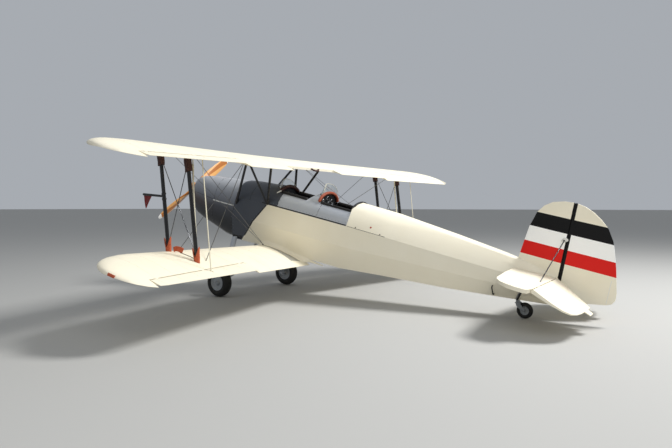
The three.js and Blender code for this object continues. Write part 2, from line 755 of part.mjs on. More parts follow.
// The fin's and rudder's outlines, [x, z]
const FIN_EDGE = [
  [-3890, 1380], [-3898, 1480], [-3912, 1632], [-3932, 1809], [-3980, 1990], [-4045, 2082],
  [-4130, 2140], [-4250, 2172], [-4371, 2180],
];
const RUDDER_EDGE = [
  [-4371, 2180], [-4478, 2158], [-4572, 2118], [-4664, 2058], [-4758, 1976], [-4836, 1855],
  [-4878, 1740], [-4930, 1580], [-4970, 1430], [-5000, 1310], [-5006, 1235], [-4980, 1185],
  [-4925, 1158], [-4775, 1123], [-4407, 1030],
];
const RUDDER_NOSE = TAIL_THICKNESS / 2;

const RUDDER_HINGES = [0.07, 0.36, 0.63, 0.93];

function finHingeAt(z) {
  return [hingeXAt(z), 0, z];
}

function rudderGroove() {
  const low = finHingeAt(FIN_HINGE.bottom[1] - 20);
  const high = finHingeAt(FIN_HINGE.top[1] + 40);
  return hingeGroove(low, high, RUDDER_NOSE, RUDDER_NOSE, RUDDER_HINGES);
}

function makeFin(turtledeck) {
  const bottom = TAILPLANE_Z + TAIL_THICKNESS / 2 + 2;
  const outline = [...FIN_EDGE, [hingeXAt(bottom), bottom], [-3900, bottom]];
  const blank = prismY(outline, -60, 60).intersect(tailLens());
  return clearOf(cut(blank, rudderGroove()), turtledeck);
}

function makeRudder() {
  const blank = prismY(RUDDER_EDGE, -60, 60).intersect(tailLens());
  const low = finHingeAt(FIN_HINGE.bottom[1] + 4);
  const high = finHingeAt(FIN_HINGE.top[1] + 2);
  return join(blank, hingeNose(low, high, RUDDER_NOSE, RUDDER_NOSE));
}

// The left half of the tailplane, [x, y], from the root's leading edge round to the hinge line
const STABILIZER_EDGE = [
  [-3925, 560], [-3968, 960], [-4000, 1060], [-4060, 1150], [-4140, 1205], [-4230, 1228],
  [-4320, 1220], [-4350, 1190], [-4358, 1100],
];
// The left elevator, [distance behind the hinge, y]
const ELEVATOR_EDGE = [
  [0, 56], [270, 160], [455, 255], [455, 398], [520, 402], [520, 552], [452, 560], [447, 700],
  [430, 850], [395, 980], [320, 1060], [200, 1100], [80, 1108], [0, 1106],
];
const ELEVATOR_NOSE = TAIL_THICKNESS / 2;

function tailplaneLens() {
  const h = TAIL_THICKNESS / 2;
  const z = TAILPLANE_Z;
  const outline = [
    [-3860, z], [-3920, z + 11], [-4150, z + h], [-4385, z + h], [-4650, z + 10], [-4920, z + 3],
  ];
  const back = outline.slice(1).reverse().map(([x, pz]) => [x, 2 * z - pz]);
  return prismY([...outline, ...back], -1400, 1400);
}

const ELEVATOR_HINGES = [0.12, 0.35, 0.65, 0.88];

function makeStabilizer() {
  const rearX = ELEVATOR_HINGE_X + 8;
  const left = [...STABILIZER_EDGE, [rearX, 1100]];
  const right = [...left].reverse().map(([x, y]) => [x, -y]);
  const blank = prismZ([[-3880, 0], ...left, ...right], 1200, 1400).intersect(tailplaneLens());
  const at = (y) => [ELEVATOR_HINGE_X, y, TAILPLANE_Z];
  const halfSpan = ELEVATOR_EDGE.at(-1)[1];
  const groove = hingeGroove(at(-halfSpan), at(halfSpan), ELEVATOR_NOSE, ELEVATOR_NOSE, ELEVATOR_HINGES);
  const wide = ELEVATOR_NOSE + HINGE_CLEARANCE;
  const tips = hingeNose(at(-1300), at(-halfSpan), wide, wide);
  const bay = join(groove, tips, mirrored(tips));
  const close = RUDDER_NOSE + RUNNING_CLEARANCE;
  const post = hingeNose(finHingeAt(1000), finHingeAt(2000), close, close);
  return largest(cut(blank, bay, post));
}

function elevatorMatrix(degrees) {
  const back = new THREE.Matrix4().makeTranslation(-ELEVATOR_HINGE_X, 0, -TAILPLANE_Z);
  const turn = new THREE.Matrix4().makeRotationY(rad(degrees));
  const there = new THREE.Matrix4().makeTranslation(ELEVATOR_HINGE_X, 0, TAILPLANE_Z);
  return there.multiply(turn).multiply(back);
}

function makeElevator() {
  const outline = ELEVATOR_EDGE.map(([behind, y]) => [ELEVATOR_HINGE_X - behind, y]);
  const blank = prismZ(outline, 1200, 1400).intersect(tailplaneLens());
  const at = (y) => [ELEVATOR_HINGE_X, y, TAILPLANE_Z];
  const nose = hingeNose(at(ELEVATOR_EDGE[0][1]), at(ELEVATOR_EDGE.at(-1)[1]), ELEVATOR_NOSE, ELEVATOR_NOSE);
  return moved(join(blank, nose), elevatorMatrix(-ELEVATOR_DROOP));
}

// Undercarriage

const HALF_TRACK = TRACK / 2;
const LEG_END_Y = HALF_TRACK - TYRE_WIDTH / 2 - 14;
const AXLE_RADIUS = 18;

function makeMainLeg() {
  const axleEnd = [0, LEG_END_Y, 0];
  const oleo = bar([330, 262, 575], axleEnd, 95, 42, 10);
  const brace = bar([-330, 210, 612], axleEnd, 44, 24);
  const halfAxle = bar([40, 40, 565], axleEnd, 40, 26);
  const axle = cone([0, LEG_END_Y - 60, 0], [0, HALF_TRACK + 52, 0], AXLE_RADIUS, AXLE_RADIUS, 16);
  return join(oleo, brace, halfAxle, axle);
}

// A wheel turns about Y. Profiles are [radius, y from its middle plane].
function makeTyre(radius, width, bead, segments) {
  const half = width / 2;
  const crown = 0.41 * width;
  const steps = 6;
  const start = [bead, -0.4 * width];
  const profile = [start];
  for (let i = 0; i <= steps; i++) {
    const angle = -Math.PI / 2 + (Math.PI * i) / steps;
    profile.push([radius - crown + crown * Math.cos(angle), half * Math.sin(angle)]);
  }
  profile.push([bead, 0.4 * width], start);
  return lathe(profile, segments);
}

function makeHub(rim, halfRim, bore, halfWidth, segments) {
  const start = [bore, -halfWidth];
  return lathe(
    [start, [2.4 * bore, -halfWidth], [0.85 * rim, -0.75 * halfRim], [rim, -halfRim],
      [rim, halfRim], [0.85 * rim, 0.75 * halfRim], [2.4 * bore, halfWidth], [bore, halfWidth], start],
    segments,
  );
}

// One corner of each wheel's polygon stands on the ground.
const MAIN_BEAD = 118;
const WHEEL_SIDES = 32;
const RIM_SHARE = 0.38; // half the rim's width, as a share of the tyre's
const mainTyre = makeTyre(WHEEL_RADIUS, TYRE_WIDTH, MAIN_BEAD, WHEEL_SIDES);
const mainHub = makeHub(
  MAIN_BEAD - GAP, RIM_SHARE * TYRE_WIDTH, AXLE_RADIUS + GAP, 0.42 * TYRE_WIDTH, WHEEL_SIDES,
);

// Tailwheel: a fork that swivels about an upright pin ahead of the wheel
const TAILWHEEL_X = -WHEELBASE;
const SWIVEL_X = TAILWHEEL_X + 80;
const TAIL_TYRE_WIDTH = 56;
const TAIL_AXLE_RADIUS = 8;
const FORK = { crownLow: 178, crownHigh: 191, halfWidth: 46, armThickness: 8, pinRadius: 10, pinTop: 222 };

function makeTailwheelBracket(fuselageInRow) {
  const low = FORK.crownHigh + GAP;
  const post = cone([SWIVEL_X, 0, low], [SWIVEL_X, 0, 260], 26, 26, 16);
  const boreRadius = FORK.pinRadius + 0.5;
  const bore = cone([SWIVEL_X, 0, low - 5], [SWIVEL_X, 0, FORK.pinTop + 2], boreRadius, boreRadius);
  return clearOf(cut(post, bore), fuselageInRow);
}

function makeFork() {
  const { crownLow, crownHigh, halfWidth, armThickness, pinRadius, pinTop } = FORK;
  const crown = box(SWIVEL_X - 22, SWIVEL_X + 24, -halfWidth, halfWidth, crownLow, crownHigh);
  const pin = cone([SWIVEL_X, 0, crownLow + 4], [SWIVEL_X, 0, pinTop], pinRadius, pinRadius);
  const z = TAILWHEEL_RADIUS;
  const outline = [
    [SWIVEL_X - 22, crownHigh], [SWIVEL_X + 18, crownHigh], [SWIVEL_X + 10, 150],
    [TAILWHEEL_X + 16, z - 14], [TAILWHEEL_X - 14, z - 14], [TAILWHEEL_X - 14, z + 14],
  ];
  const arm = prismY(outline, halfWidth - armThickness, halfWidth);
  const axleEnd = halfWidth + 4;
  const axle = cone(
    [TAILWHEEL_X, -axleEnd, z], [TAILWHEEL_X, axleEnd, z], TAIL_AXLE_RADIUS, TAIL_AXLE_RADIUS,
  );
  return join(crown, pin, arm, mirrored(arm), axle);
}

const TAIL_BEAD = 52;
const TAILWHEEL_SIDES = 20;
const tailTyre = makeTyre(TAILWHEEL_RADIUS, TAIL_TYRE_WIDTH, TAIL_BEAD, TAILWHEEL_SIDES);
const tailHub = makeHub(
  TAIL_BEAD - GAP, RIM_SHARE * TAIL_TYRE_WIDTH, TAIL_AXLE_RADIUS + GAP, 0.62 * TAIL_TYRE_WIDTH,
  TAILWHEEL_SIDES,
);

// Propeller: two blades, each a loft along its own radius
// share of the radius, chord, thickness, pitch in degrees
const BLADE_STATIONS = [
  [0, 84, 84, 62],
  [0.09, 96, 70, 55],
  [0.25, 138, 46, 40],
  [0.455, 158, 28, 24.5],
  [0.68, 150, 19, 17],
  [0.865, 124, 13, 13.5],
  [0.966, 88, 9, 12.2],
  [1, 40, 6, 12],
];
const BLADE_SIDES = 10;
const HUB_BOSS = { radius: 78, front: 45, back: 43 }; // from the blades' middle plane
const SHAFT_RADIUS = 30;
const ENGINE_FRONT_X = 1380;

function bladeRing([share, chord, thickness, pitch]) {
  const ring = [];
  for (let i = 0; i < BLADE_SIDES; i++) {
    const angle = (2 * Math.PI * i) / BLADE_SIDES;
    const along = (chord / 2) * Math.cos(angle);
    const out = (thickness / 2) * Math.sin(angle);
    const [c, s] = [Math.cos(rad(pitch)), Math.sin(rad(pitch))];
    ring.push([out * c - along * s, share * PROPELLER_RADIUS, along * c + out * s]);
  }
  return ring;
}

function makePropeller() {
  const blade = loft(BLADE_STATIONS.map(bladeRing));
  const other = moved(blade, new THREE.Matrix4().makeRotationX(Math.PI));
  const { radius, front, back } = HUB_BOSS;
  const boss = cone([-back, 0, 0], [front, 0, 0], radius, radius, 24);
  const boreRadius = SHAFT_RADIUS + RUNNING_CLEARANCE;
  const bore = cone([-200, 0, 0], [200, 0, 0], boreRadius, boreRadius, 24);
  const whole = cut(join(blade, other, boss), bore);
  const turn = new THREE.Matrix4().makeRotationX(rad(PROPELLER_ANGLE));
  return moved(whole, turn.setPosition(PROPELLER_X, 0, THRUST_Z));
}

function makePropellerHub() {
  const front = PROPELLER_X + HUB_BOSS.front + GAP;
  const centre = (x) => [x, 0, THRUST_Z];
  const shaft = cone(centre(ENGINE_FRONT_X + GAP), centre(front + 2), SHAFT_RADIUS, SHAFT_RADIUS, 24);
  const plate = cone(centre(front), centre(front + 10), 72, 70, 24);
  const nose = cone(centre(front + 8), centre(front + 26), 30, 20, 12);
  return join(shaft, plate, nose);
}

// Small outside pieces

const PITOT = { root: [-515, STRUT_Y, 1374], tip: [-170, STRUT_Y, 1322], radius: 14 };

function makePitot(strut) {
  return clearOf(cone(PITOT.root, PITOT.tip, PITOT.radius, PITOT.radius, 8), strut);
}

// A soft three-cornered flag that hangs under the tip of the pitot tube.
function makePennant() {
  const { root, tip, radius } = PITOT;
  const slope = (tip[2] - root[2]) / (tip[0] - root[0]);
  const under = (x) => tip[2] + slope * (x - tip[0]) - radius - GAP - 0.2;
  const [front, back] = [tip[0] - 10, tip[0] - 145];
  const low = [tip[0] - 84, under(tip[0]) - 140];
  return prismY([[front, under(front)], [back, under(back)], low], STRUT_Y - 1, STRUT_Y + 1);
}

// Struts under the tailplane
function makeTailStrut(stabilizer) {
  return clearOf(bar([-4010, 82, 940], [-4190, 640, TAILPLANE_Z], 34, 18), fuselage, stabilizer);
}

// Main pieces

const leftUpper = makeWing(UPPER, CENTRE_HALF_SPAN + PANEL_GAP);
const centreSection = makeCentreSection();
const fuselageBlank = cut(makeFuselageBlank(), rudderGroove());
const decking = makeDecking();
const forwardPanels = largest(fuselageBlank.intersect(aheadOfSkinEdge(GAP)));
const fuselage = largest(cut(fuselageBlank, aheadOfSkinEdge(-GAP)));
const cowl = makeCowl();
const lowerWing = makeWing(LOWER, LOWER_ROOT);
const lowerWings = [lowerWing, mirrored(lowerWing)].map((wing) => clearOf(wing, fuselage, forwardPanels));

// Groups

const airplane = new THREE.Group();
const body = new THREE.Group();
body.rotation.y = -rad(GROUND_ANGLE);
body.position.z = WHEEL_RADIUS;
airplane.add(body);
body.updateMatrixWorld(true);

function addPiece(group, name, piece, finish) {
  const mesh = new THREE.Mesh(geometryOf(piece), MATERIALS[finish]);
  mesh.name = name;
  group.add(mesh);
  return mesh;
}

// The left piece and its mirror image, each cut clear of its neighbours.
function addPair(group, name, piece, finish, neighbours = []) {
  addPiece(group, `${name}_left`, clearOf(piece, ...neighbours), finish);
  addPiece(group, `${name}_right`, clearOf(mirrored(piece), ...neighbours), finish);
}

const stabilizer = makeStabilizer();
const turtledeck = clearOf(cut(makeTurtledeck(), rudderGroove()), stabilizer);
addPiece(body, "fuselage", fuselage, "fabric");
addPiece(body, "forward_panels", forwardPanels, "sheetMetal");
addPiece(body, "decking", decking, "sheetMetal");
addPiece(body, "turtledeck", turtledeck, "fabric");
addPiece(body, "engine_cowl", cowl, "sheetMetal");
addPiece(body, "engine_block", box(FIREWALL_X + GAP, ENGINE_FRONT_X, -105, 105, 810, 1240), "castIron");

addPiece(body, "centre_section", centreSection, "fabric");
addPair(body, "upper_wing", leftUpper, "fabric");
addPiece(body, "lower_wing_left", lowerWings[0], "fabric");
addPiece(body, "lower_wing_right", lowerWings[1], "fabric");
const aileronAngles = { left: LEFT_AILERON_UP, right: -LEFT_AILERON_UP };
for (const [side, angle] of Object.entries(aileronAngles)) {
  const onSide = (piece) => (side === "left" ? piece : mirrored(piece));
  addPiece(body, `upper_aileron_${side}`, onSide(makeAileron(UPPER, angle, -1)), "fabric");
  addPiece(body, `lower_aileron_${side}`, onSide(makeAileron(LOWER, angle, 1)), "fabric");
  addPiece(body, `aileron_link_${side}`, onSide(makeAileronLink(angle)), "wire");
}
addPair(body, "cabane", makeCabane(), "blackPaint", [centreSection, forwardPanels, fuselage, decking]);
const frontStrut = makeInterplane(FRONT_STRUT_FOOT, FRONT_SPAR);
addPair(body, "front_strut", frontStrut, "blackPaint");
addPair(body, "rear_strut", makeInterplane(REAR_STRUT_FOOT, REAR_SPAR), "blackPaint");
addPair(body, "flying_wires", makeFlyingWires(), "wire");
addPair(body, "landing_wires", makeLandingWires(), "wire");

addPiece(body, "front_seat", makeSeat(-830), "leather");
addPiece(body, "rear_seat", makeSeat(-1590), "leather");
const frontPanelX = -354;
const frontArch = deckArch([frontPanelX, ridgeAt(frontPanelX)], DECK_WALL + 0.5).slice(1, -1);
addPiece(body, "front_panel", makePanel(frontPanelX, frontArch, 300, 1180), "innerGrey");
const rearPanelX = -1078;
const rearArch = hoodArch(hoodRow(rearPanelX + PANEL_THICKNESS), DECK_WALL + 0.5);
addPiece(body, "rear_panel", clearOf(makePanel(rearPanelX, rearArch, 205, 1240), decking), "innerGrey");
addPiece(body, "front_stick", makeStick(-460), "blackPaint");
addPiece(body, "rear_stick", makeStick(-1225), "blackPaint");
addPiece(body, "front_windscreen", makeWindscreen(-205, deckTop, 1640, 60), "glass");
addPiece(body, "rear_windscreen", makeWindscreen(-975, hoodTop, 1720, 60), "glass");

addPiece(body, "fin", makeFin(turtledeck), "fabric");
addPiece(body, "rudder", makeRudder(), "fabric");
addPiece(body, "stabilizer", stabilizer, "fabric");
addPair(body, "elevator", makeElevator(), "fabric");
addPair(body, "tail_strut", makeTailStrut(stabilizer), "blackPaint");

addPair(body, "main_leg", makeMainLeg(), "sheetMetal", [forwardPanels, fuselage, ...lowerWings]);
for (const [side, y] of [["left", HALF_TRACK], ["right", -HALF_TRACK]]) {
  addPiece(airplane, `tyre_${side}`, shifted(mainTyre, 0, y, WHEEL_RADIUS), "tyre");
  addPiece(airplane, `wheel_hub_${side}`, shifted(mainHub, 0, y, WHEEL_RADIUS), "hub");
}

const fuselageInRow = moved(fuselage, body.matrixWorld);
addPiece(airplane, "tailwheel_bracket", makeTailwheelBracket(fuselageInRow), "steel");
addPiece(airplane, "tailwheel_fork", makeFork(), "steel");
addPiece(airplane, "tailwheel_tyre", shifted(tailTyre, TAILWHEEL_X, 0, TAILWHEEL_RADIUS), "tyre");
addPiece(airplane, "tailwheel_hub", shifted(tailHub, TAILWHEEL_X, 0, TAILWHEEL_RADIUS), "hub");

addPiece(body, "propeller", makePropeller(), "wood");
addPiece(body, "propeller_hub", makePropellerHub(), "steel");
addPiece(body, "pitot_tube", makePitot(frontStrut), "blackPaint");
addPiece(body, "pitot_pennant", makePennant(), "pennant");

// The origin lies on the ground under the middle of the bounding box.
const bounds = new THREE.Box3().setFromObject(airplane, true);
for (const child of airplane.children) child.position.x -= (bounds.min.x + bounds.max.x) / 2;

export default airplane;
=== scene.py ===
# %% [markdown]
# A two-seat biplane of the 1930s, dressed for its portrait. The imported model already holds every
# solid at its real size and place. This script gives those solids their finishes and adds what is
# thin, soft or repeated: fabric tapes, wires, leather, trim, screws and cloth.
# Lengths are metres. +X is the nose, +Y the pilot's left, +Z up, and the ground is z = 0.

# %% Load the frame
import json
import math

import bmesh
import bpy
from mathutils import Matrix, Vector
from mathutils.bvhtree import BVHTree

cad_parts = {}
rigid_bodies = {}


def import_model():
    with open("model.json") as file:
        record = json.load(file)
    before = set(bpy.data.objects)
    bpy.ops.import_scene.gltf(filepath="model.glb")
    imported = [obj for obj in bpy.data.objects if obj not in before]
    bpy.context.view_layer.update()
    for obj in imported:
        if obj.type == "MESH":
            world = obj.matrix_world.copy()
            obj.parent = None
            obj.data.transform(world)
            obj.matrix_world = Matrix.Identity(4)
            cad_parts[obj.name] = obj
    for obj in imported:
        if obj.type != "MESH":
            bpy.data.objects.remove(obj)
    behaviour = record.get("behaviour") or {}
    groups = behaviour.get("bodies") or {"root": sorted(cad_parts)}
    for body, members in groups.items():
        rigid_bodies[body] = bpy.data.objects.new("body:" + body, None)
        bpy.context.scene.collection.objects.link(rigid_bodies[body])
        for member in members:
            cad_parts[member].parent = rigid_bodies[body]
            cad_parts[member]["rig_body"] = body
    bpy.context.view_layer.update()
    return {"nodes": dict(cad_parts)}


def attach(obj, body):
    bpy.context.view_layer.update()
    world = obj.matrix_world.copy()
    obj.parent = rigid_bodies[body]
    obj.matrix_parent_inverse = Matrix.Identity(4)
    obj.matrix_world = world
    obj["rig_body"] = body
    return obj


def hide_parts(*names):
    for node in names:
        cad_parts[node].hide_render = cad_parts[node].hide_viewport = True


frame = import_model()
print("nodes:", len(frame["nodes"]))

# %% [markdown]
# The camera stands behind the left wing at chest height, as a visitor would. Its place and lens
# were solved from the aeroplane's own corners, so the picture and the model share one perspective.
# A matrix built from where it looks and what is to its right needs no tracking constraint.

# %% Camera
IMAGE_WIDTH, SENSOR_WIDTH = 672, 36
CAMERA_PLACE = Vector((-4.16705, 6.8317, 1.3136))
CAMERA_YAW, CAMERA_PITCH = math.radians(33.305), math.radians(1.707)
CAMERA_ROLL = math.radians(-0.035)
FOCAL_PIXELS = 571.75


def add_object(name, data):
    thing = bpy.data.objects.new(name, data)
    bpy.context.scene.collection.objects.link(thing)
    return thing


def aim(place, yaw, pitch, roll):
    level = Vector((math.sin(yaw), -math.cos(yaw), 0))
    right = Vector((-math.cos(yaw), -math.sin(yaw), 0))
    ahead = level * math.cos(pitch) - Vector((0, 0, math.sin(pitch)))
    turn = Matrix.Rotation(roll, 3, ahead)
    right = turn @ right
    up = right.cross(ahead)
    return Matrix.Translation(place) @ Matrix((right, up, -ahead)).transposed().to_4x4()


camera = add_object("camera", bpy.data.cameras.new("camera"))
camera.data.sensor_width = SENSOR_WIDTH
camera.data.lens = SENSOR_WIDTH * FOCAL_PIXELS / IMAGE_WIDTH
camera.matrix_world = aim(CAMERA_PLACE, CAMERA_YAW, CAMERA_PITCH, CAMERA_ROLL)
bpy.context.scene.camera = camera
print("lens:", round(camera.data.lens, 2), "mm")

# %% [markdown]
# Colours are written as the sRGB hex values that a paint chart would give. Blender's shaders work
# in linear light, so one function converts them. One more adds a node with its settings and links:
# an input may be a number, a socket, or another node, whose first output is meant. Last come two
# steps that most finishes share: a coat of one colour over another, and an uneven surface.

# %% Colour and node helpers
ROUGH_FROM, ROUGH_TO = 0.3, 0.7  # a noise seldom leaves this range


def linear(code):
    channels = [int(code[i : i + 2], 16) / 255 for i in (1, 3, 5)]
    return [c / 12.92 if c <= 0.04045 else ((c + 0.055) / 1.055) ** 2.4 for c in channels] + [1]


def set_inputs(tree, node, inputs):
    for name, value in inputs.items():
        socket = node.inputs[name]
        if isinstance(value, bpy.types.Node):
            value = value.outputs[0]
        if isinstance(value, bpy.types.NodeSocket):
            tree.links.new(value, socket)
        else:
            socket.default_value = value


def add_node(tree, kind, inputs=None, **settings):
    node = tree.nodes.new(kind)
    for name, value in settings.items():
        setattr(node, name, value)
    set_inputs(tree, node, inputs or {})
    return node


def spaced(settings):
    return {name.replace("_", " "): value for name, value in settings.items()}


def new_material(name, **constants):
    material = bpy.data.materials.new(name)
    material.use_nodes = True
    tree = material.node_tree
    shader = tree.nodes["Principled BSDF"]
    set_inputs(tree, shader, spaced(constants))
    return material, tree, shader


def coat(tree, under, mask, colour):
    mix = {"Factor": mask, 6: under, 7: colour}
    return add_node(tree, "ShaderNodeMix", mix, data_type="RGBA").outputs[2]


def uneven(tree, shader, noise, gloss, dent):
    """Lets a noise wander the roughness between two limits and dent the surface."""
    rough = {"Value": noise, "From Min": ROUGH_FROM, "From Max": ROUGH_TO}
    rough |= {"To Min": gloss[0], "To Max": gloss[1]}
    rough = add_node(tree, "ShaderNodeMapRange", rough)
    bump = add_node(tree, "ShaderNodeBump", {"Height": noise, "Distance": dent, "Strength": 0.8})
    set_inputs(tree, shader, {"Roughness": rough, "Normal": bump})


def object_axes(tree):
    return add_node(tree, "ShaderNodeTexCoord").outputs["Object"]


# %% [markdown]
# The airframe was drawn level and then pitched nose-up about its main axle. Most places on it are
# easier to say in those level "body" axes, so one matrix carries a point from them to the frame,
# and the same turn inside a Mapping node gives a material the body axes to paint by.

# %% Body axes
PARKED = math.radians(12.91)
AXLE = Vector((1.846429, 0, 0.21))
FROM_BODY = Matrix.Translation(AXLE) @ Matrix.Rotation(-PARKED, 4, "Y")
TO_BODY = FROM_BODY.inverted()


def body_axes(tree):
    level = {"Rotation": (0, PARKED, 0), "Location": TO_BODY.translation}
    return add_node(tree, "ShaderNodeMapping", {"Vector": object_axes(tree), **level})


# %% [markdown]
# Doped linen covers the wings, tail and rear fuselage. The cloth is shrunk over ribs, so the real
# surface dips a little between them, and dope leaves it semi-gloss with faint brush mottling. The
# threads are half a millimetre apart: too fine for this picture, so they are drawn 5 mm apart.

# %% Doped linen
CREAM, CREAM_SHADE = linear("#F5EEDA"), linear("#EDE4CB")
THREAD, THREAD_HEIGHT = 0.005, 0.0003
RIB_SPACING, SAG = 0.283, 0.004
WAVE_PERIOD = math.tau / 20  # of a Wave texture at scale 1
DOPE = {"Roughness": 0.5, "Specular_IOR_Level": 0.22, "Coat_Weight": 0.05, "Coat_Roughness": 0.4}


def doped_linen(name, ribbed=False, paint=None):
    material, tree, shader = new_material(name, **DOPE)
    place = body_axes(tree)
    mottle = add_node(tree, "ShaderNodeTexNoise", {"Vector": place, "Scale": 2.6, "Detail": 5})
    colour = coat(tree, CREAM, mottle, CREAM_SHADE)
    if paint:
        colour = paint(tree, place, colour)
    bands = [(axis, THREAD, THREAD_HEIGHT) for axis in "XYZ"]
    if ribbed:
        bands.append(("Y", RIB_SPACING, SAG))
    bump = None
    for axis, period, height in bands:
        wave = {"Vector": place, "Scale": WAVE_PERIOD / period}
        wave = add_node(tree, "ShaderNodeTexWave", wave, bands_direction=axis).outputs["Fac"]
        below = {"Normal": bump} if bump else {}
        bump = {"Height": wave, "Distance": height, "Strength": 0.6, **below}
        bump = add_node(tree, "ShaderNodeBump", bump)
    set_inputs(tree, shader, {"Base Color": colour, "Normal": bump})
    return material


LINENS = [
    doped_linen("doped_linen_over_wing_ribs", ribbed=True),
    doped_linen("doped_linen_over_stringers"),
]
print("linens:", len(LINENS))

# %% [markdown]
# The fin and rudder carry a black, a white and a red band across them, level in body axes, and a
# black tape along their hinge. They are painted, so they belong in the material: a comparison of
# height with each band's edges gives a mask, and the masks stack as coats of paint would.

# %% Tail bands
BLACK, WHITE, RED = linear("#050506"), linear("#FBFAF6"), linear("#D81A12")
BANDS = [(1.64, 1.82, WHITE), (1.82, 1.99, BLACK), (1.48, 1.64, RED)]
HINGE_TOP, HINGE_BOTTOM = (-4.371, 2.172), (-4.407, 1.03)
HINGE_TAPE = 0.0215  # half width


def between(tree, value, low, high):
    above = add_node(tree, "ShaderNodeMath", {0: value, 1: low}, operation="GREATER_THAN")
    below = add_node(tree, "ShaderNodeMath", {0: value, 1: high}, operation="LESS_THAN")
    return add_node(tree, "ShaderNodeMath", {0: above, 1: below}, operation="MULTIPLY")


def tail_paint(tree, place, colour):
    axes = add_node(tree, "ShaderNodeSeparateXYZ", {0: place}).outputs
    for low, high, band in BANDS:
        colour = coat(tree, colour, between(tree, axes["Z"], low, high), band)
    slope = (HINGE_TOP[0] - HINGE_BOTTOM[0]) / (HINGE_TOP[1] - HINGE_BOTTOM[1])
    line = {0: axes["Z"], 1: -slope, 2: axes["X"]}
    line = add_node(tree, "ShaderNodeMath", line, operation="MULTIPLY_ADD")
    middle = HINGE_BOTTOM[0] - slope * HINGE_BOTTOM[1]
    return coat(tree, colour, between(tree, line, middle - HINGE_TAPE, middle + HINGE_TAPE), BLACK)


LINENS.append(doped_linen("doped_linen_with_tail_bands", paint=tail_paint))
print("bands:", len(BANDS))

# %% [markdown]
# The nose and the cockpit decking are thin aluminium sheet under satin silver-grey paint. Sheet
# over formers is never quite flat, so a slow noise bends the reflections a little, and handling
# leaves duller patches, so the roughness wanders. Struts, steel, rubber and the rest follow the
# same recipe with their own colours, gloss and grain: one table row each.

# %% Paints, metals and rubber
PATCHY = {
    # name: colour, patch colour, metallic, roughness range, patch size m, dent height m
    "satin_slate_paint_on_aluminium": ("#4E525A", "#454951", 0.3, (0.32, 0.44), 0.25, 0.0015),
    "satin_silver_paint_on_aluminium": ("#BABEC4", "#AEB3BA", 0.2, (0.36, 0.48), 0.2, 0.001),
    "gloss_black_paint_on_steel": ("#121214", "#1C1C1E", 0.0, (0.22, 0.4), 0.08, 0.0002),
    "matt_black_paint": ("#0E0E0F", "#171718", 0.0, (0.6, 0.8), 0.02, 0.0004),
    "crackle_grey_instrument_paint": ("#2B2D30", "#232527", 0.0, (0.6, 0.75), 0.004, 0.0003),
    "cream_painted_steel": ("#DAD4BF", "#CBC4AC", 0.0, (0.35, 0.5), 0.06, 0.0002),
    "pale_grey_hub_paint": ("#A9ADB0", "#989CA0", 0.1, (0.4, 0.55), 0.05, 0.0003),
    "white_enamel": ("#E9E8E2", "#DCDAD2", 0.0, (0.25, 0.4), 0.05, 0.0002),
    "red_enamel": ("#B4321E", "#9C2A1A", 0.0, (0.25, 0.4), 0.05, 0.0002),
    "drawn_stainless_wire": ("#85868A", "#6C6D70", 1.0, (0.25, 0.4), 0.02, 0.0001),
    "machined_steel": ("#8E9194", "#7C7F82", 1.0, (0.28, 0.45), 0.01, 0.0001),
    "rough_cast_iron": ("#45474A", "#38393B", 0.7, (0.6, 0.8), 0.01, 0.0008),
    "weathered_tyre_rubber": ("#1B1B1B", "#2B2A28", 0.0, (0.7, 0.92), 0.05, 0.0006),
    "black_leather": ("#0B0A0A", "#151312", 0.0, (0.6, 0.8), 0.006, 0.0005),
    "red_brown_leather": ("#8A3A22", "#6E2C19", 0.0, (0.45, 0.65), 0.006, 0.0005),
    # Dark brown leather. On the upper strut sleeves it is painted shade, the orange leather
    # darkened.
    "dark_brown_leather": ("#4A1F14", "#2B1510", 0.0, (0.5, 0.7), 0.02, 0.0006),
    "faded_orange_leather": ("#B4552F", "#74301E", 0.0, (0.5, 0.7), 0.06, 0.0006),
    "orange_leather": ("#CF6238", "#8E3E22", 0.0, (0.5, 0.7), 0.02, 0.0005),
    "grit_walkway": ("#BDBAAE", "#8F8C82", 0.0, (0.85, 0.95), 0.004, 0.0008),
    "webbing": ("#3A3D34", "#2E3029", 0.0, (0.8, 0.9), 0.004, 0.0003),
}
finish = {material.name: material for material in LINENS}
for name, (base, patch, metallic, gloss, size, dent) in PATCHY.items():
    finish[name], tree, shader = new_material(name, Metallic=metallic)
    noise = {"Vector": object_axes(tree), "Scale": 1 / size, "Detail": 6, "Roughness": 0.6}
    noise = add_node(tree, "ShaderNodeTexNoise", noise)
    set_inputs(tree, shader, {"Base Color": coat(tree, linear(base), noise, linear(patch))})
    uneven(tree, shader, noise, gloss, dent)
print("finishes:", len(finish))

# %% [markdown]
# The cowl's paint is lighter along the top, slate on the sides and nearly black below. That is
# painted
# light: a painted reflection of the sky on top and painted shade underneath. Height in body axes,
# made ragged by a noise, drives a colour ramp.

# %% Cowl paint with painted reflection and shade
# The heights over which the ramp runs from painted shade below to a painted sky reflection on top.
SHADE_RAMP_LOW, SHADE_RAMP_HIGH, SHADE_RAMP_RAGGED = 0.6, 1.4, 0.12
PAINTED_SHADE_STEPS = [
    (0.0, "#141519"), (0.3, "#26282D"), (0.55, "#4B4E55"), (0.8, "#8A8D94"), (1.0, "#B8BABE"),
]


def colour_ramp(tree, share, steps):
    ramp = add_node(tree, "ShaderNodeValToRGB", {"Fac": share})
    stops = ramp.color_ramp.elements
    while len(stops) < len(steps):
        stops.new(0.5)
    for stop, (position, code) in zip(stops, steps):
        stop.position, stop.color = position, linear(code)
    return ramp
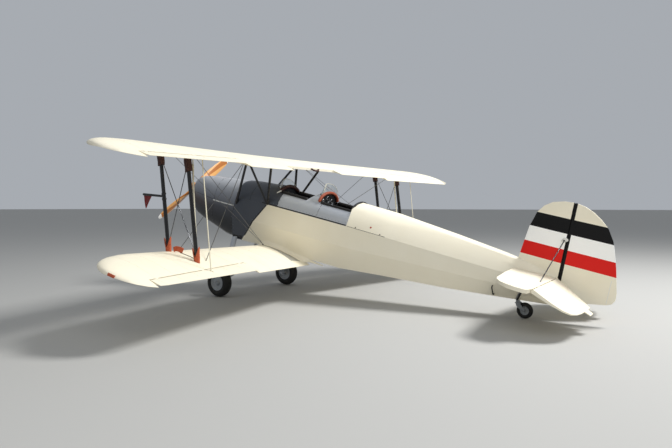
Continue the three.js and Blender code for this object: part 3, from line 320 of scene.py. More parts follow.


# The cowl's paint: its light top and dark underside are painted reflection and painted shade.
name = "satin_paint_dulled_by_soot"
finish[name], tree, shader = new_material(name, Metallic=0.25)
place = body_axes(tree)
height = add_node(tree, "ShaderNodeSeparateXYZ", {0: place}).outputs["Z"]
noise = add_node(tree, "ShaderNodeTexNoise", {"Vector": place, "Scale": 3.5, "Detail": 6})
ragged = {0: noise, 1: SHADE_RAMP_RAGGED, 2: height}
ragged = add_node(tree, "ShaderNodeMath", ragged, operation="MULTIPLY_ADD")
share = {"Value": ragged, "From Min": SHADE_RAMP_LOW, "From Max": SHADE_RAMP_HIGH}
share = add_node(tree, "ShaderNodeMapRange", share)
set_inputs(tree, shader, {"Base Color": colour_ramp(tree, share, PAINTED_SHADE_STEPS)})
uneven(tree, shader, noise, (0.34, 0.5), 0.0012)
print("soot steps:", len(PAINTED_SHADE_STEPS))

# %% [markdown]
# The propeller is glued from boards of pale and brown wood, planed to shape and varnished, with
# white tips so that people see the disc. Carving cuts the boards at a slant, which draws long
# contour lines along each blade. The wave texture therefore runs across the boards' thickness,
# along the shaft, and a stretched noise adds the grain along the blade.

# %% Laminated wood
BOARD, BOARD_COLOURS = 0.022, [(0.44, "#C07C3C"), (0.56, "#F4BE7A")]
GRAIN_SCALE, GRAIN_TINT = (90, 6, 90), "#EED4AE"
PROPELLER_ANGLE = math.radians(-38.1)
SHAFT_HEIGHT = 1.105
TIP_PAINT_FROM, PAST_THE_TIP = 0.8, 1.0

name = "varnished_laminated_wood"
finish[name], tree, shader = new_material(name, Roughness=0.3, Coat_Weight=0.6, Coat_Roughness=0.12)
centred = {"Vector": body_axes(tree), "Location": (0, 0, -SHAFT_HEIGHT)}
centred = add_node(tree, "ShaderNodeMapping", centred)
along = {"Vector": centred, "Rotation": (-PROPELLER_ANGLE, 0, 0)}
along = add_node(tree, "ShaderNodeMapping", along)
grain = add_node(tree, "ShaderNodeMapping", {"Vector": along, "Scale": GRAIN_SCALE})
grain = add_node(tree, "ShaderNodeTexNoise", {"Vector": grain, "Scale": 1, "Detail": 6})
boards = {"Vector": along, "Scale": WAVE_PERIOD / (2 * BOARD), "Distortion": 0.4}
boards = add_node(tree, "ShaderNodeTexWave", boards, bands_direction="X").outputs["Fac"]
wood = {"Factor": grain, 6: colour_ramp(tree, boards, BOARD_COLOURS), 7: linear(GRAIN_TINT)}
wood = add_node(tree, "ShaderNodeMix", wood, data_type="RGBA", blend_type="MULTIPLY").outputs[2]
reach = add_node(tree, "ShaderNodeVectorMath", {0: centred, 1: (0, 1, 1)}, operation="MULTIPLY")
reach = add_node(tree, "ShaderNodeVectorMath", {0: reach}, operation="LENGTH").outputs["Value"]
tips = between(tree, reach, TIP_PAINT_FROM, PAST_THE_TIP)
bump = add_node(tree, "ShaderNodeBump", {"Height": grain, "Distance": 0.0003, "Strength": 0.4})
set_inputs(tree, shader, {"Base Color": coat(tree, wood, tips, WHITE), "Normal": bump})
print("boards:", BOARD, "m thick")

# %% [markdown]
# The windscreens are bent from clear acrylic sheet. Acrylic bends light less than window glass,
# and cleaning leaves it slightly hazy in places, so the roughness follows a soft noise. The flag
# is plain red bunting, whose warp and weft are two crossed waves.

# %% Acrylic and cloth
CLOTH_THREAD = 0.003

name = "clear_acrylic_sheet"
clear = {"IOR": 1.49, "Transmission_Weight": 1.0, "Base_Color": linear("#F2F6F5")}
finish[name], tree, shader = new_material(name, **clear)
haze = add_node(tree, "ShaderNodeTexNoise", {"Vector": object_axes(tree), "Scale": 25, "Detail": 8})
haze = add_node(tree, "ShaderNodeMapRange", {"Value": haze, "To Min": 0.0, "To Max": 0.12})
set_inputs(tree, shader, {"Roughness": haze})

name = "red_flag_cloth"
finish[name], tree, shader = new_material(name, Roughness=0.85, Sheen_Weight=0.2)
wave = {"Vector": object_axes(tree), "Scale": WAVE_PERIOD / CLOTH_THREAD}
warp, weft = (
    add_node(tree, "ShaderNodeTexWave", wave, bands_direction=axis).outputs["Fac"] for axis in "XZ"
)
weave = add_node(tree, "ShaderNodeMath", {0: warp, 1: weft}, operation="MULTIPLY")
bump = {"Height": weave, "Distance": CLOTH_THREAD / 4, "Strength": 0.5}
bump = add_node(tree, "ShaderNodeBump", bump)
colour = coat(tree, linear("#6E1218"), weave, linear("#8E1B22"))
set_inputs(tree, shader, {"Base Color": colour, "Normal": bump})
print("finishes:", len(finish))

# %% [markdown]
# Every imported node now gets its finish. A node's mesh is a heap of loose triangles, which would
# show each flat face of a rounded form. For those forms a merged copy, shaded smooth except where
# it really folds, stands in for the node; flat-sided nodes simply keep their mesh.

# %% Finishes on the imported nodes


def both(*names):
    return [f"{name}_{side}" for name in names for side in ("left", "right")]


WINGS_AND_AILERONS = both("upper_wing", "lower_wing", "upper_aileron", "lower_aileron")
BRACES = both("cabane", "front_strut", "rear_strut", "tail_strut")
NODE_FINISH = {
    "doped_linen_over_wing_ribs": ["centre_section", *WINGS_AND_AILERONS],
    "doped_linen_over_stringers": ["fuselage", "turtledeck", "stabilizer", *both("elevator")],
    "doped_linen_with_tail_bands": ["fin", "rudder"],
    "satin_slate_paint_on_aluminium": ["forward_panels"],
    # The cowl's paint holds painted shade below and a painted reflection on top.
    "satin_paint_dulled_by_soot": ["engine_cowl"],
    "satin_silver_paint_on_aluminium": ["decking", *both("main_leg")],
    "rough_cast_iron": ["engine_block"],
    "cream_painted_steel": both("aileron_link"),
    "drawn_stainless_wire": both("flying_wires", "landing_wires"),
    "gloss_black_paint_on_steel": ["front_stick", "rear_stick", "pitot_tube", *BRACES],
    "crackle_grey_instrument_paint": ["front_panel", "rear_panel", "front_seat", "rear_seat"],
    "clear_acrylic_sheet": ["front_windscreen", "rear_windscreen"],
    "weathered_tyre_rubber": ["tailwheel_tyre", *both("tyre")],
    "pale_grey_hub_paint": ["tailwheel_hub", *both("wheel_hub")],
    "machined_steel": ["tailwheel_bracket", "tailwheel_fork", "propeller_hub"],
    "varnished_laminated_wood": ["propeller"],
    "red_flag_cloth": ["pitot_pennant"],
}
for paint, names in NODE_FINISH.items():
    for name in names:
        slots = frame["nodes"][name].data.materials
        slots.clear()
        slots.append(finish[paint])
bare = set(frame["nodes"]) - {name for names in NODE_FINISH.values() for name in names}
print("nodes without a finish:", len(bare))

STRINGERS_FROM, STRINGERS_ABOVE = -2.2, 1.3  # an x and a height; ahead of that x it is round
FOLD = {  # the angle, in degrees, past which an edge stays sharp
    "engine_cowl": 35, "turtledeck": 12, "centre_section": 50, "propeller": 45,
    "propeller_hub": 35, "fin": 30, "rudder": 30, "stabilizer": 30, "tailwheel_bracket": 30,
    "pitot_tube": 50, "front_stick": 50, "rear_stick": 50,
    **dict.fromkeys(WINGS_AND_AILERONS, 50),
    **dict.fromkeys(BRACES + both("elevator"), 50),
    **dict.fromkeys(both("flying_wires", "landing_wires", "aileron_link", "main_leg"), 62),
}
WELD = 2e-5  # triangles' corners closer than this are one corner


def shade(shape, fold):
    for face in shape.faces:
        face.smooth = True
    for edge in shape.edges:
        edge.smooth = edge.calc_face_angle(math.pi) < math.radians(fold)


def smooth_copy(node, fold):
    original = frame["nodes"][node]
    mesh = original.data.copy()
    shape = bmesh.new()
    shape.from_mesh(mesh)
    bmesh.ops.remove_doubles(shape, verts=shape.verts, dist=WELD)
    shade(shape, fold)
    shape.to_mesh(mesh)
    shape.free()
    piece = add_object(f"{node}_smooth", mesh)
    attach(piece, original["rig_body"])
    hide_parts(node)
    return piece


for node, fold in FOLD.items():
    piece = smooth_copy(node, fold)
    if node == "turtledeck":
        places = [TO_BODY @ vert.co for vert in piece.data.vertices]
        for edge in piece.data.edges:
            a, b = (places[i] for i in edge.vertices)
            ahead, lengthways = (a + b).x / 2 > STRINGERS_FROM, abs(a.x - b.x) > 0.01
            if ahead and lengthways and min(a.z, b.z) > STRINGERS_ABOVE:
                edge.use_edge_sharp = False
print("smooth copies:", len(FOLD))

# %% [markdown]
# The decking and the fuselage are hollow at the cockpits. Their outsides are painted and their
# insides are black or primed, so their copies get a second material on each face that looks
# inwards. The decking has a third: its front part wears the nose's slate paint up to one frame,
# and cutting the mesh at that frame gives the paint a straight edge.

# %% Decking and fuselage
PAINT_SEAM_X = -0.45
DECK_CEILING, NO_CEILING = 1.4, 9  # above this height a face that looks down is a ceiling
FLOOR_BELOW, FLOOR_END = 0.75, -1.7  # the height and the x that end the cockpit floor
FLAT, ON_SIDE, ACROSS = 1e-5, 0.5, 0.9  # limits for how far a face is turned


def everything(shape):
    return shape.verts[:] + shape.edges[:] + shape.faces[:]


def opened(*meshes):
    """The meshes as one shape, in body axes."""
    shape = bmesh.new()
    for mesh in meshes:
        shape.from_mesh(mesh)
    shape.transform(TO_BODY)
    return shape


def lined_copy(node, fold, lining, ceiling_from):
    mesh = smooth_copy(node, fold).data
    shape = opened(mesh)
    if node == "decking":
        plane = {"plane_co": (PAINT_SEAM_X, 0, 0), "plane_no": (1, 0, 0)}
        bmesh.ops.bisect_plane(shape, geom=everything(shape), **plane)
        mesh.materials.append(finish["satin_slate_paint_on_aluminium"])
    mesh.materials.append(finish[lining])
    for face in shape.faces:
        middle, facing = face.calc_center_median(), face.normal
        inwards = facing.y * middle.y < -FLAT or (facing.z < -ON_SIDE and middle.z > ceiling_from)
        floor = facing.z > ON_SIDE and middle.z < FLOOR_BELOW and middle.x > FLOOR_END
        if (inwards or floor) and abs(facing.x) < ACROSS:
            face.material_index = len(mesh.materials) - 1
        elif node == "decking" and middle.x > PAINT_SEAM_X:
            face.material_index = 1
    shape.transform(FROM_BODY)
    shape.to_mesh(mesh)
    shape.free()


lined_copy("decking", 32, "matt_black_paint", DECK_CEILING)
lined_copy("fuselage", 12, "crackle_grey_instrument_paint", NO_CEILING)
print("lined: 2")

# %% [markdown]
# New pieces are strips, bars and shells, and all of them can be drawn as rings of points joined in
# order: a loft. A sweep makes its own rings by carrying one profile along a path. Every piece is
# drawn in body axes and turned to the frame at the end.


def lofted(solids, closed=False):
    """A shape of solids, each a list of rings; a closed one joins its last ring to its first."""
    shape = bmesh.new()
    for rings in solids:
        rows = [[shape.verts.new(point) for point in ring] for ring in rings]
        for one, two in zip(rows, rows[1:] + rows[:1] if closed else rows[1:]):
            for i in range(len(one)):
                j = (i + 1) % len(one)
                shape.faces.new((one[i], one[j], two[j], two[i]))
        if not closed:
            shape.faces.new(rows[0][::-1])
            shape.faces.new(rows[-1])
    return shape


def carried(path, outward, profile):
    """Rings of (across, out) points along a path whose outward direction is given.

    The profile is one list of points, or a function that gives it for a ring's number.
    """
    path = [Vector(point) for point in path]
    outward = [Vector(outward)] * len(path) if isinstance(outward, tuple) else outward
    profiles = profile if callable(profile) else lambda i: profile
    rings = []
    for i, place in enumerate(path):
        ahead = (path[min(i + 1, len(path) - 1)] - path[max(i - 1, 0)]).normalized()
        out = (outward[i] - ahead * outward[i].dot(ahead)).normalized()
        side = ahead.cross(out)
        rings.append([place + side * a + out * b for a, b in profiles(i)])
    return rings


def swept(runs, profile):
    return lofted([carried(path, outward, profile) for path, outward in runs])


def round_profile(radius, sides=8, flatten=1.0):
    angles = [math.tau * i / sides for i in range(sides)]
    return [(radius * math.cos(a), flatten * radius * math.sin(a)) for a in angles]


def strip_profile(width, height, sunk=0.0006):
    half, edge = width / 2, min(height, width / 4)
    far_half = [(-half, -sunk), (half, -sunk), (half, height * 0.4), (half - edge, height)]
    return [*far_half, (edge - half, height), (-half, height * 0.4)]


def new_piece(name, shape, paint, body="airframe", fold=40, level=True, mirrored=False):
    if mirrored:
        for part in bmesh.ops.duplicate(shape, geom=everything(shape))["geom"]:
            if isinstance(part, bmesh.types.BMVert):
                part.co.y *= -1
    if level:
        shape.transform(FROM_BODY)
    bmesh.ops.recalc_face_normals(shape, faces=shape.faces[:])
    shade(shape, fold)
    mesh = bpy.data.meshes.new(name)
    shape.to_mesh(mesh)
    shape.free()
    mesh.materials.append(finish[paint])
    piece = add_object(name, mesh)
    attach(piece, body)
    return piece


def plain_mesh(piece):
    """Applies the piece's modifiers."""
    grown = piece.evaluated_get(bpy.context.evaluated_depsgraph_get())
    mesh = bpy.data.meshes.new_from_object(grown)
    piece.modifiers.clear()
    piece.data = mesh
    return mesh


# %% [markdown]
# Trim and seams lie on curved skins, so their places aren't guessed: each point of a line is sent
# inwards as a ray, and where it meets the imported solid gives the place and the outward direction.
# The sides are mirror images, so lines are laid on the left and then mirrored.

# %% Laying lines on a skin
AHEAD, LEFT, UP = Vector((1, 0, 0)), Vector((0, 1, 0)), Vector((0, 0, 1))
STEP, RAY_START = 0.03, 0.6
ABOVE = 1.2  # the height of lines and rays that come from above


def skin_of(*meshes):
    shape = opened(*meshes)
    tree = BVHTree.FromBMesh(shape)
    shape.free()
    return tree


def skin(*nodes):
    return skin_of(*(frame["nodes"][node].data for node in nodes))


def lay(surface, corners, away=LEFT, step=STEP):
    """Points no more than a step apart along the corners, pushed against away on to the skin."""
    corners = [Vector(corner) for corner in corners]
    path = []
    for a, b in zip(corners, corners[1:]):
        count = max(1, math.ceil((b - a).length / step))
        path += [a.lerp(b, i / count) for i in range(count)]
    path.append(corners[-1])
    hits = [surface.ray_cast(point + RAY_START * away, -away) for point in path]
    hits = [hit for hit in hits if hit[0] is not None]
    return [hit[0] for hit in hits], [hit[1] for hit in hits]


def lay_on_side(lines):
    return [lay(nose, [(x, 0, z) for x, z in line]) for line in lines]


nose = skin("engine_cowl", "forward_panels", "decking", "fuselage", "turtledeck")
SEAM = strip_profile(0.005, 0.001)
TRIMS = [
    # name, finish, profile, lines of (x, z) on the left side
    (
        "skin_edge_trim", "gloss_black_paint_on_steel", strip_profile(0.024, 0.002),
        [[(-0.243, 1.218), (0.128, 0.66)]],
    ),
    (
        "decking_trim", "gloss_black_paint_on_steel", strip_profile(0.017, 0.003),
        [[(-0.15, 1.236), (-0.9, 1.249), (-1.655, 1.256)]],
    ),
    (
        "bottom_corner_trim", "gloss_black_paint_on_steel", strip_profile(0.05, 0.0015),
        [[(0.385, 0.588), (0.3, 0.592), (0.18, 0.612)]],
    ),
    (
        "panel_seams", "matt_black_paint", SEAM,
        [
            [(PAINT_SEAM_X, 1.27), (PAINT_SEAM_X, 1.44)], [(0.405, 1.07), (0.405, 1.38)],
            [(0.9, 0.64), (0.9, 1.32)], [(1.38, 1.07), (0.94, 1.054)],
            [(-1.67, 1.25), (-2.25, 1.246)], [(-1.16, 1.27), (-1.16, 1.43)],
            [(0.1, 1.215), (0.1, 1.41)],
        ],
    ),
    (
        "firewall_seam", "matt_black_paint", strip_profile(0.016, 0.002),
        [[(0.405, 0.6), (0.405, 1.06)]],
    ),
    (
        "cowl_hinge", "white_enamel", strip_profile(0.017, 0.006),
        [[(0.915, 1.04), (0.646, 1.049), (0.42, 1.06)]],
    ),
]
for name, paint, profile, lines in TRIMS:
    new_piece(name, swept(lay_on_side(lines), profile), paint, mirrored=True)
print("trims:", len(TRIMS))

# %% [markdown]
# The seam between the cowl and the body, and the frames of the decking, also run over the top.
# There the rays come from above, and the two halves of the line meet on the centreline.

# %% Seams over the top
TOP_SEAMS = [(0.405, 0.24), (PAINT_SEAM_X + 0.1, 0.25), (0.1, 0.25), (0.9, 0.17)]  # x, half width
runs = [lay(nose, [(x, -half, ABOVE), (x, half, ABOVE)], UP) for x, half in TOP_SEAMS]
new_piece("top_seams", swept(runs, SEAM), "matt_black_paint")
print("top seams:", len(TOP_SEAMS))

# %% [markdown]
# Screws hold the panels down in even rows. One Geometry Nodes tree makes them all: it turns a
# polyline into a curve, puts a point every so many millimetres, and sets a low dome on each point,
# turned to the outward direction stored on the line. Realize Instances makes them real mesh, and
# the result is kept as a plain mesh with no modifier.

# %% Studs along a line
SOCKETS = {"Geometry": "NodeSocketGeometry", "Material": "NodeSocketMaterial"}


def tree_with(name, *inputs):
    tree = bpy.data.node_groups.new(name, "GeometryNodeTree")
    for label in ("Geometry", "Material", *inputs):
        kind = SOCKETS.get(label, "NodeSocketFloat")
        tree.interface.new_socket(label, in_out="INPUT", socket_type=kind)
    tree.interface.new_socket("Geometry", in_out="OUTPUT", socket_type="NodeSocketGeometry")
    return tree, add_node(tree, "NodeGroupInput").outputs


def close_tree(tree, given, geometry):
    real = add_node(tree, "GeometryNodeRealizeInstances", {"Geometry": geometry})
    smooth = add_node(tree, "GeometryNodeSetShadeSmooth", {"Geometry": real})
    painted = {"Geometry": smooth, "Material": given["Material"]}
    painted = add_node(tree, "GeometryNodeSetMaterial", painted)
    add_node(tree, "NodeGroupOutput", {"Geometry": painted})


def stud_tree():
    tree, given = tree_with("studs_along_a_line", "Spacing", "Radius", "Height")
    line = add_node(tree, "GeometryNodeMeshToCurve", {"Mesh": given["Geometry"]})
    even = {"Curve": line, "Length": given["Spacing"]}
    even = add_node(tree, "GeometryNodeResampleCurve", even, mode="LENGTH")
    dome = add_node(tree, "GeometryNodeMeshUVSphere", {"Segments": 8, "Rings": 5})
    outward = {"Name": "outward"}
    outward = add_node(tree, "GeometryNodeInputNamedAttribute", outward, data_type="FLOAT_VECTOR")
    turn = add_node(tree, "FunctionNodeAlignRotationToVector", {"Vector": outward}, axis="Z")
    size = {"X": given["Radius"], "Y": given["Radius"], "Z": given["Height"]}
    size = add_node(tree, "ShaderNodeCombineXYZ", size)
    put = {"Points": even, "Instance": dome, "Rotation": turn, "Scale": size}
    close_tree(tree, given, add_node(tree, "GeometryNodeInstanceOnPoints", put))
    return tree


def grow(name, lines, tree, paint, body="airframe", level=True, **sizes):
    """Runs a tree on lines of (path, outward) and keeps the result as a plain mesh."""
    points, edges, facing = [], [], []
    place = FROM_BODY if level else Matrix.Identity(4)
    turn = place.to_3x3()
    for path, outward in lines:
        first = len(points)
        points += [place @ Vector(p) for p in path]
        facing += [turn @ Vector(o) for o in outward]
        edges += [(i, i + 1) for i in range(first, len(points) - 1)]
    mesh = bpy.data.meshes.new(name)
    mesh.from_pydata(points, edges, [])
    stored = mesh.attributes.new("outward", "FLOAT_VECTOR", "POINT")
    stored.data.foreach_set("vector", [value for vector in facing for value in vector])
    piece = add_object(name, mesh)
    modifier = piece.modifiers.new("grow", "NODES")
    modifier.node_group = tree
    values = {"Material": finish[paint], **spaced(sizes)}
    for item in tree.interface.items_tree:
        if item.in_out == "INPUT" and item.name in values:
            modifier[item.identifier] = values[item.name]
    plain_mesh(piece).name = name
    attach(piece, body)
    return piece


def flipped(points):
    return [point * Vector((1, -1, 1)) for point in points]


def mirrored_lines(lines):
    return lines + [(flipped(path), flipped(outward)) for path, outward in lines]


studs = stud_tree()
SCREW_LINES = [
    [(-0.15, 1.262), (-0.9, 1.275), (-1.64, 1.282)],
    [(0.43, 0.62), (0.43, 1.36)],
    [(0.375, 0.6), (0.375, 1.16)],
    [(0.92, 0.66), (0.92, 1.3)],
    [(-0.47, 1.28), (-0.47, 1.43)],
    [(-0.228, 1.225), (0.143, 0.67)],
    [(-1.64, 1.3), (-1.64, 1.44)],
]
FASTENERS, FUEL_MARKER = [(-1.8, 1.263), (-2.17, 1.26)], [(-2.01, 1.314), (-2.012, 1.314)]
STUDS = [
    # name, finish, lines of (x, z) on the left side, spacing, radius, height
    ("panel_screws", "machined_steel", SCREW_LINES, 0.055, 0.0045, 0.0016),
    ("turtledeck_fasteners", "matt_black_paint", [FASTENERS], 0.3, 0.009, 0.003),
    ("fuel_marker", "red_enamel", [FUEL_MARKER], 0.1, 0.013, 0.003),
]
for name, paint, lines, spacing, radius, height in STUDS:
    lines = mirrored_lines(lay_on_side(lines))
    grow(name, lines, studs, paint, Spacing=spacing, Radius=radius, Height=height)
print("rows of screws:", 2 * len(SCREW_LINES))

# %% [markdown]
# Rib tapes are strips of linen doped over every rib, to keep the stitching from the wind. A tape
# has to follow the wing's section exactly, so it is cut from the wing itself: two planes keep a
# slice of the skin, faces in the aileron's groove are dropped, and the slice is raised and closed.

# %% Rib tapes
TAPE_WIDTH, TAPE_HEIGHT = 0.026, 0.0009
FIRST_RIB = 0.66 + RIB_SPACING / 2
GROOVE = 0.3  # a face that sees more wing within this distance is in a groove
wing_skin = skin(*WINGS_AND_AILERONS, "centre_section", "fuselage")


def in_open_air(face):
    start = face.calc_center_median() + face.normal * 0.002
    return wing_skin.ray_cast(start, face.normal, GROOVE)[0] is None


def add_tape(shape, node, y):
    cut = opened(frame["nodes"][node].data)
    bmesh.ops.remove_doubles(cut, verts=cut.verts, dist=WELD)
    for side in (1, -1):
        edge = (0, y + side * TAPE_WIDTH / 2, 0)
        bmesh.ops.bisect_plane(
            cut, geom=everything(cut), plane_co=edge, plane_no=(0, side, 0), clear_outer=True
        )
    buried = [face for face in cut.faces if abs(face.normal.y) > 0.9 or not in_open_air(face)]
    bmesh.ops.delete(cut, geom=buried, context="FACES")
    cut.normal_update()
    cut.verts.index_update()
    low = [shape.verts.new(vert.co) for vert in cut.verts]
    high = [shape.verts.new(vert.co + vert.normal * TAPE_HEIGHT) for vert in cut.verts]
    for face in cut.faces:
        corners = [vert.index for vert in face.verts]
        shape.faces.new([high[i] for i in corners])
        shape.faces.new([low[i] for i in reversed(corners)])
    for edge in cut.edges:
        if edge.is_boundary:
            a, b = (vert.index for vert in edge.verts)
            shape.faces.new((low[a], low[b], high[b], high[a]))
    cut.free()


TAPED = {  # the span from the first tape to the last
    "upper_wing": (0.78, 3.62), "lower_wing": (0.5, 3.62),
    "upper_aileron": (1.78, 3.4), "lower_aileron": (1.78, 3.4),
}
tape_count = 0
for name, (first, last) in TAPED.items():
    for node, sign in zip(both(name), (1, -1)):
        shape = bmesh.new()
        y = FIRST_RIB
        while y < last:
            if y > first:
                add_tape(shape, node, sign * y)
                tape_count += 1
            y += RIB_SPACING
        body = frame["nodes"][node]["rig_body"]
        new_piece(f"{node}_tapes", shape, "doped_linen_over_stringers", body, fold=60)
print("rib tapes:", tape_count)

# %% [markdown]
# Places on the wings are easiest to say as a span station and a share of the chord, as on the
# maker's drawing. This gives the chord line's point, and rays find the skin above or below it.

# %% Wing stations
CHORD = 1.0
SWEEP = math.tan(math.radians(11.06))
WINGS = {"upper": (0.276, 1.824, math.radians(1.42)), "lower": (-0.117, 0.54, math.radians(4.29))}
STRUT_Y = 2.476
STRUTS = {"front": (0.15, 0.128), "rear": (0.62, 0.587)}  # chord shares at the lower and upper wing


def on_wing(wing, y, share, lift=0.0):
    leading, height, dihedral = WINGS[wing]
    x = leading - abs(y) * SWEEP - share * CHORD
    return Vector((x, y, height + abs(y) * math.tan(dihedral) + lift))


# %% [markdown]
# Each interplane strut is laced into a leather sleeve at both ends, against chafing. The lower
# ones are orange-red and open in two flaring tongues, fore and aft. The upper ones are wide, and
# their dark brown is painted shade: the same leather as it looks in the upper wing's shadow. A
# sleeve is a loft of ovals around the strut, and its free edge dips at both sides.

# %% Strut sleeves
SLEEVES = [
    # end, finish, length, half width along the chord, half width across, valley, flare at the edge
    ("lower", "orange_leather", 0.165, 0.04, 0.024, 0.72, 1.42),
    # The upper sleeves' dark brown is painted shade: the orange leather as it looks under the upper
    # wing.
    ("upper", "dark_brown_leather", 0.17, 0.055, 0.03, 0.1, 0.86),
]
SLEEVE_RINGS = (-0.08, 0, 0.1, 0.3, 0.5, 0.7, 0.86, 0.95, 1)  # shares of the length
SLEEVE_SIDES, INSIDE = 24, 0.4
lower_skin, upper_skin = skin("lower_wing_left"), skin("upper_wing_left")
strut_line = {}
for strut, (low_share, high_share) in STRUTS.items():
    low, high = on_wing("lower", STRUT_Y, low_share), on_wing("upper", STRUT_Y, high_share, 0.02)
    along = (high - low).normalized()
    foot = lower_skin.ray_cast(low + along * INSIDE, -along)[0]
    head = upper_skin.ray_cast(high - along * INSIDE, along)[0]
    strut_line[strut] = (foot, head)


def sleeve(start, along, length, wide, thin, valley, flare):
    across = along.cross(AHEAD).normalized()
    chordwise = across.cross(along).normalized()
    if chordwise.x < 0:
        chordwise = -chordwise
    rings = []
    for share in SLEEVE_RINGS:
        ring = []
        spread = 1 + (flare - 1) * max(share, 0) ** 1.3
        for i in range(SLEEVE_SIDES):
            angle = math.tau * i / SLEEVE_SIDES
            tongue = 1 - valley * (1 - abs(math.cos(angle)) ** 1.4)
            crease = 1 + 0.05 * math.sin(3 * angle + 9 * share)
            reach = wide * (0.95 + (spread - 0.95) * tongue) * crease * math.cos(angle)
            place = start + along * (length * share * tongue) + chordwise * reach
            ring.append(place + across * (thin * crease * math.sin(angle)))
        rings.append(ring)
    return rings


for end, leather, *sizes in SLEEVES:
    lines = [line if end == "lower" else line[::-1] for line in strut_line.values()]
    solids = [sleeve(start, (stop - start).normalized(), *sizes) for start, stop in lines]
    new_piece(f"{end}_strut_sleeves", lofted(solids), leather, fold=50, mirrored=True)
print("sleeves:", 4 * len(SLEEVES))

# %% [markdown]
# Thin rods and wires share a second tree: it sweeps a circle along each line for the wire, trims
# the line to a short piece at either end, and sweeps a larger circle there for the fork end. One
# line drawn with it is painted shadow: a black line on the lower wing between the strut feet.

# %% Wires with fork ends


def wire_tree():
    tree, given = tree_with("wires_with_fork_ends", "Radius", "End Radius", "End Length")
    line = add_node(tree, "GeometryNodeMeshToCurve", {"Mesh": given["Geometry"]})
    back = add_node(tree, "GeometryNodeReverseCurve", {"Curve": line})
    curves = [(line, "Radius")]
    for way in (line, back):
        end = {"Curve": way, 3: 0.0, 4: given["End Length"]}
        curves.append((add_node(tree, "GeometryNodeTrimCurve", end, mode="LENGTH"), "End Radius"))
    joined = add_node(tree, "GeometryNodeJoinGeometry")
    for curve, radius in curves:
        circle = {"Resolution": 8, "Radius": given[radius]}
        circle = add_node(tree, "GeometryNodeCurvePrimitiveCircle", circle)
        tube = {"Curve": curve, "Profile Curve": circle, "Fill Caps": True}
        set_inputs(tree, joined, {0: add_node(tree, "GeometryNodeCurveToMesh", tube)})
    close_tree(tree, given, joined)
    return tree


wires = wire_tree()
(front_foot, front_head), (rear_foot, rear_head) = strut_line["front"], strut_line["rear"]
lift = (front_head - front_foot).normalized() * 0.06
ROD_FOOT, ROD_HEAD = on_wing("lower", 2.43, 0.565, 0.06), on_wing("upper", 2.4, 0.62, -0.03)
BOW = [(0, 0.0), (0.25, 0.008), (0.5, 0.013), (0.75, 0.011), (1, 0.0)]  # share of the length, out
rod = [ROD_FOOT.lerp(ROD_HEAD, share) + Vector((out, 0, 0)) for share, out in BOW]
# A black line laid on the near lower wing from the front strut's foot to the rear one: painted cast
# shadow.
shadow_line = lay(lower_skin, [(-0.87, 2.43, 1), (-1.03, 2.418, 1), (-1.19, 2.45, 1)], UP)[0]
WIRES = [
    # name, finish, paths, radius, end radius, end length, on both sides
    (
        "incidence_wires", "drawn_stainless_wire",
        [[front_foot + lift, rear_head - lift], [rear_foot + lift, front_head - lift]],
        0.0017, 0.0045, 0.08, True,
    ),
    (
        "tail_wires", "drawn_stainless_wire", [[(-4.35, 0.026, 1.745), (-4.318, 0.577, 1.305)]],
        0.0028, 0.006, 0.06, True,
    ),
    ("bay_rods", "cream_painted_steel", [rod], 0.0065, 0.01, 0.05, True),
    # Painted cast shadow on the lower wing, drawn as a thin black line.
    (
        "pitot_pipe", "gloss_black_paint_on_steel", [[point + UP * 0.0022 for point in shadow_line]],
        0.003, 0.0045, 0.02, False,
    ),
]
for name, paint, paths, radius, end_radius, end_length, paired in WIRES:
    lines = [([Vector(point) for point in path], [UP] * len(path)) for path in paths]
    lines = mirrored_lines(lines) if paired else lines
    grow(name, lines, wires, paint, Radius=radius, End_Radius=end_radius, End_Length=end_length)
print("wires, rods and pipes:", len(WIRES))

# %% [markdown]
# White lugs on the fin take the tail wires. A lug is a plate with a rounded end: two rings a few
# millimetres apart. The grab handle low on the rear fuselage is a bent tube, and the ground crew
# lift the tail by it. A white line on the rudder marks its trim tab.

# %% Tail fittings
LUGS = [(-4.358, 1.752, 0.032), (-4.338, 1.732, 0.024)]  # x, z, radius
LUG_FACES = (0.015, 0.029)
lugs = [
    [[(x + a, y, z + b) for a, b in round_profile(radius, 16, 0.7)] for y in LUG_FACES]
    for x, z, radius in LUGS
]
new_piece("fin_lugs", lofted(lugs), "white_enamel", mirrored=True)

(top, low), outward = lay(skin("fuselage"), [(-3.713, 0, 1.025), (-3.743, 0, 0.93)], step=1)
bend, grip = outward[0] * 0.028, outward[0] * 0.038
handle = [top, top + bend, top.lerp(low, 0.12) + grip, low.lerp(top, 0.12) + grip, low + bend, low]
handle = swept([(handle, (1, 0, 0))], round_profile(0.0075))
new_piece("tail_handles", handle, "gloss_black_paint_on_steel", mirrored=True)

tab_line = lay(skin("rudder"), [(-4.92, 0, 1.436), (-4.926, 0, 1.168)])
tab_line = swept([tab_line], strip_profile(0.006, 0.0012))
new_piece("rudder_tab_line", tab_line, "white_enamel", "rudder", mirrored=True)
print("tail fittings: 3")

# %% [markdown]
# The wing root is faired into the body with a hollow fillet, tall ahead and thin behind, and a
# strip of grit beside it is the only place to step. The fillet is a loft of curved triangles: one
# corner on the body's side, one on the wing, and a hollow curve between them.

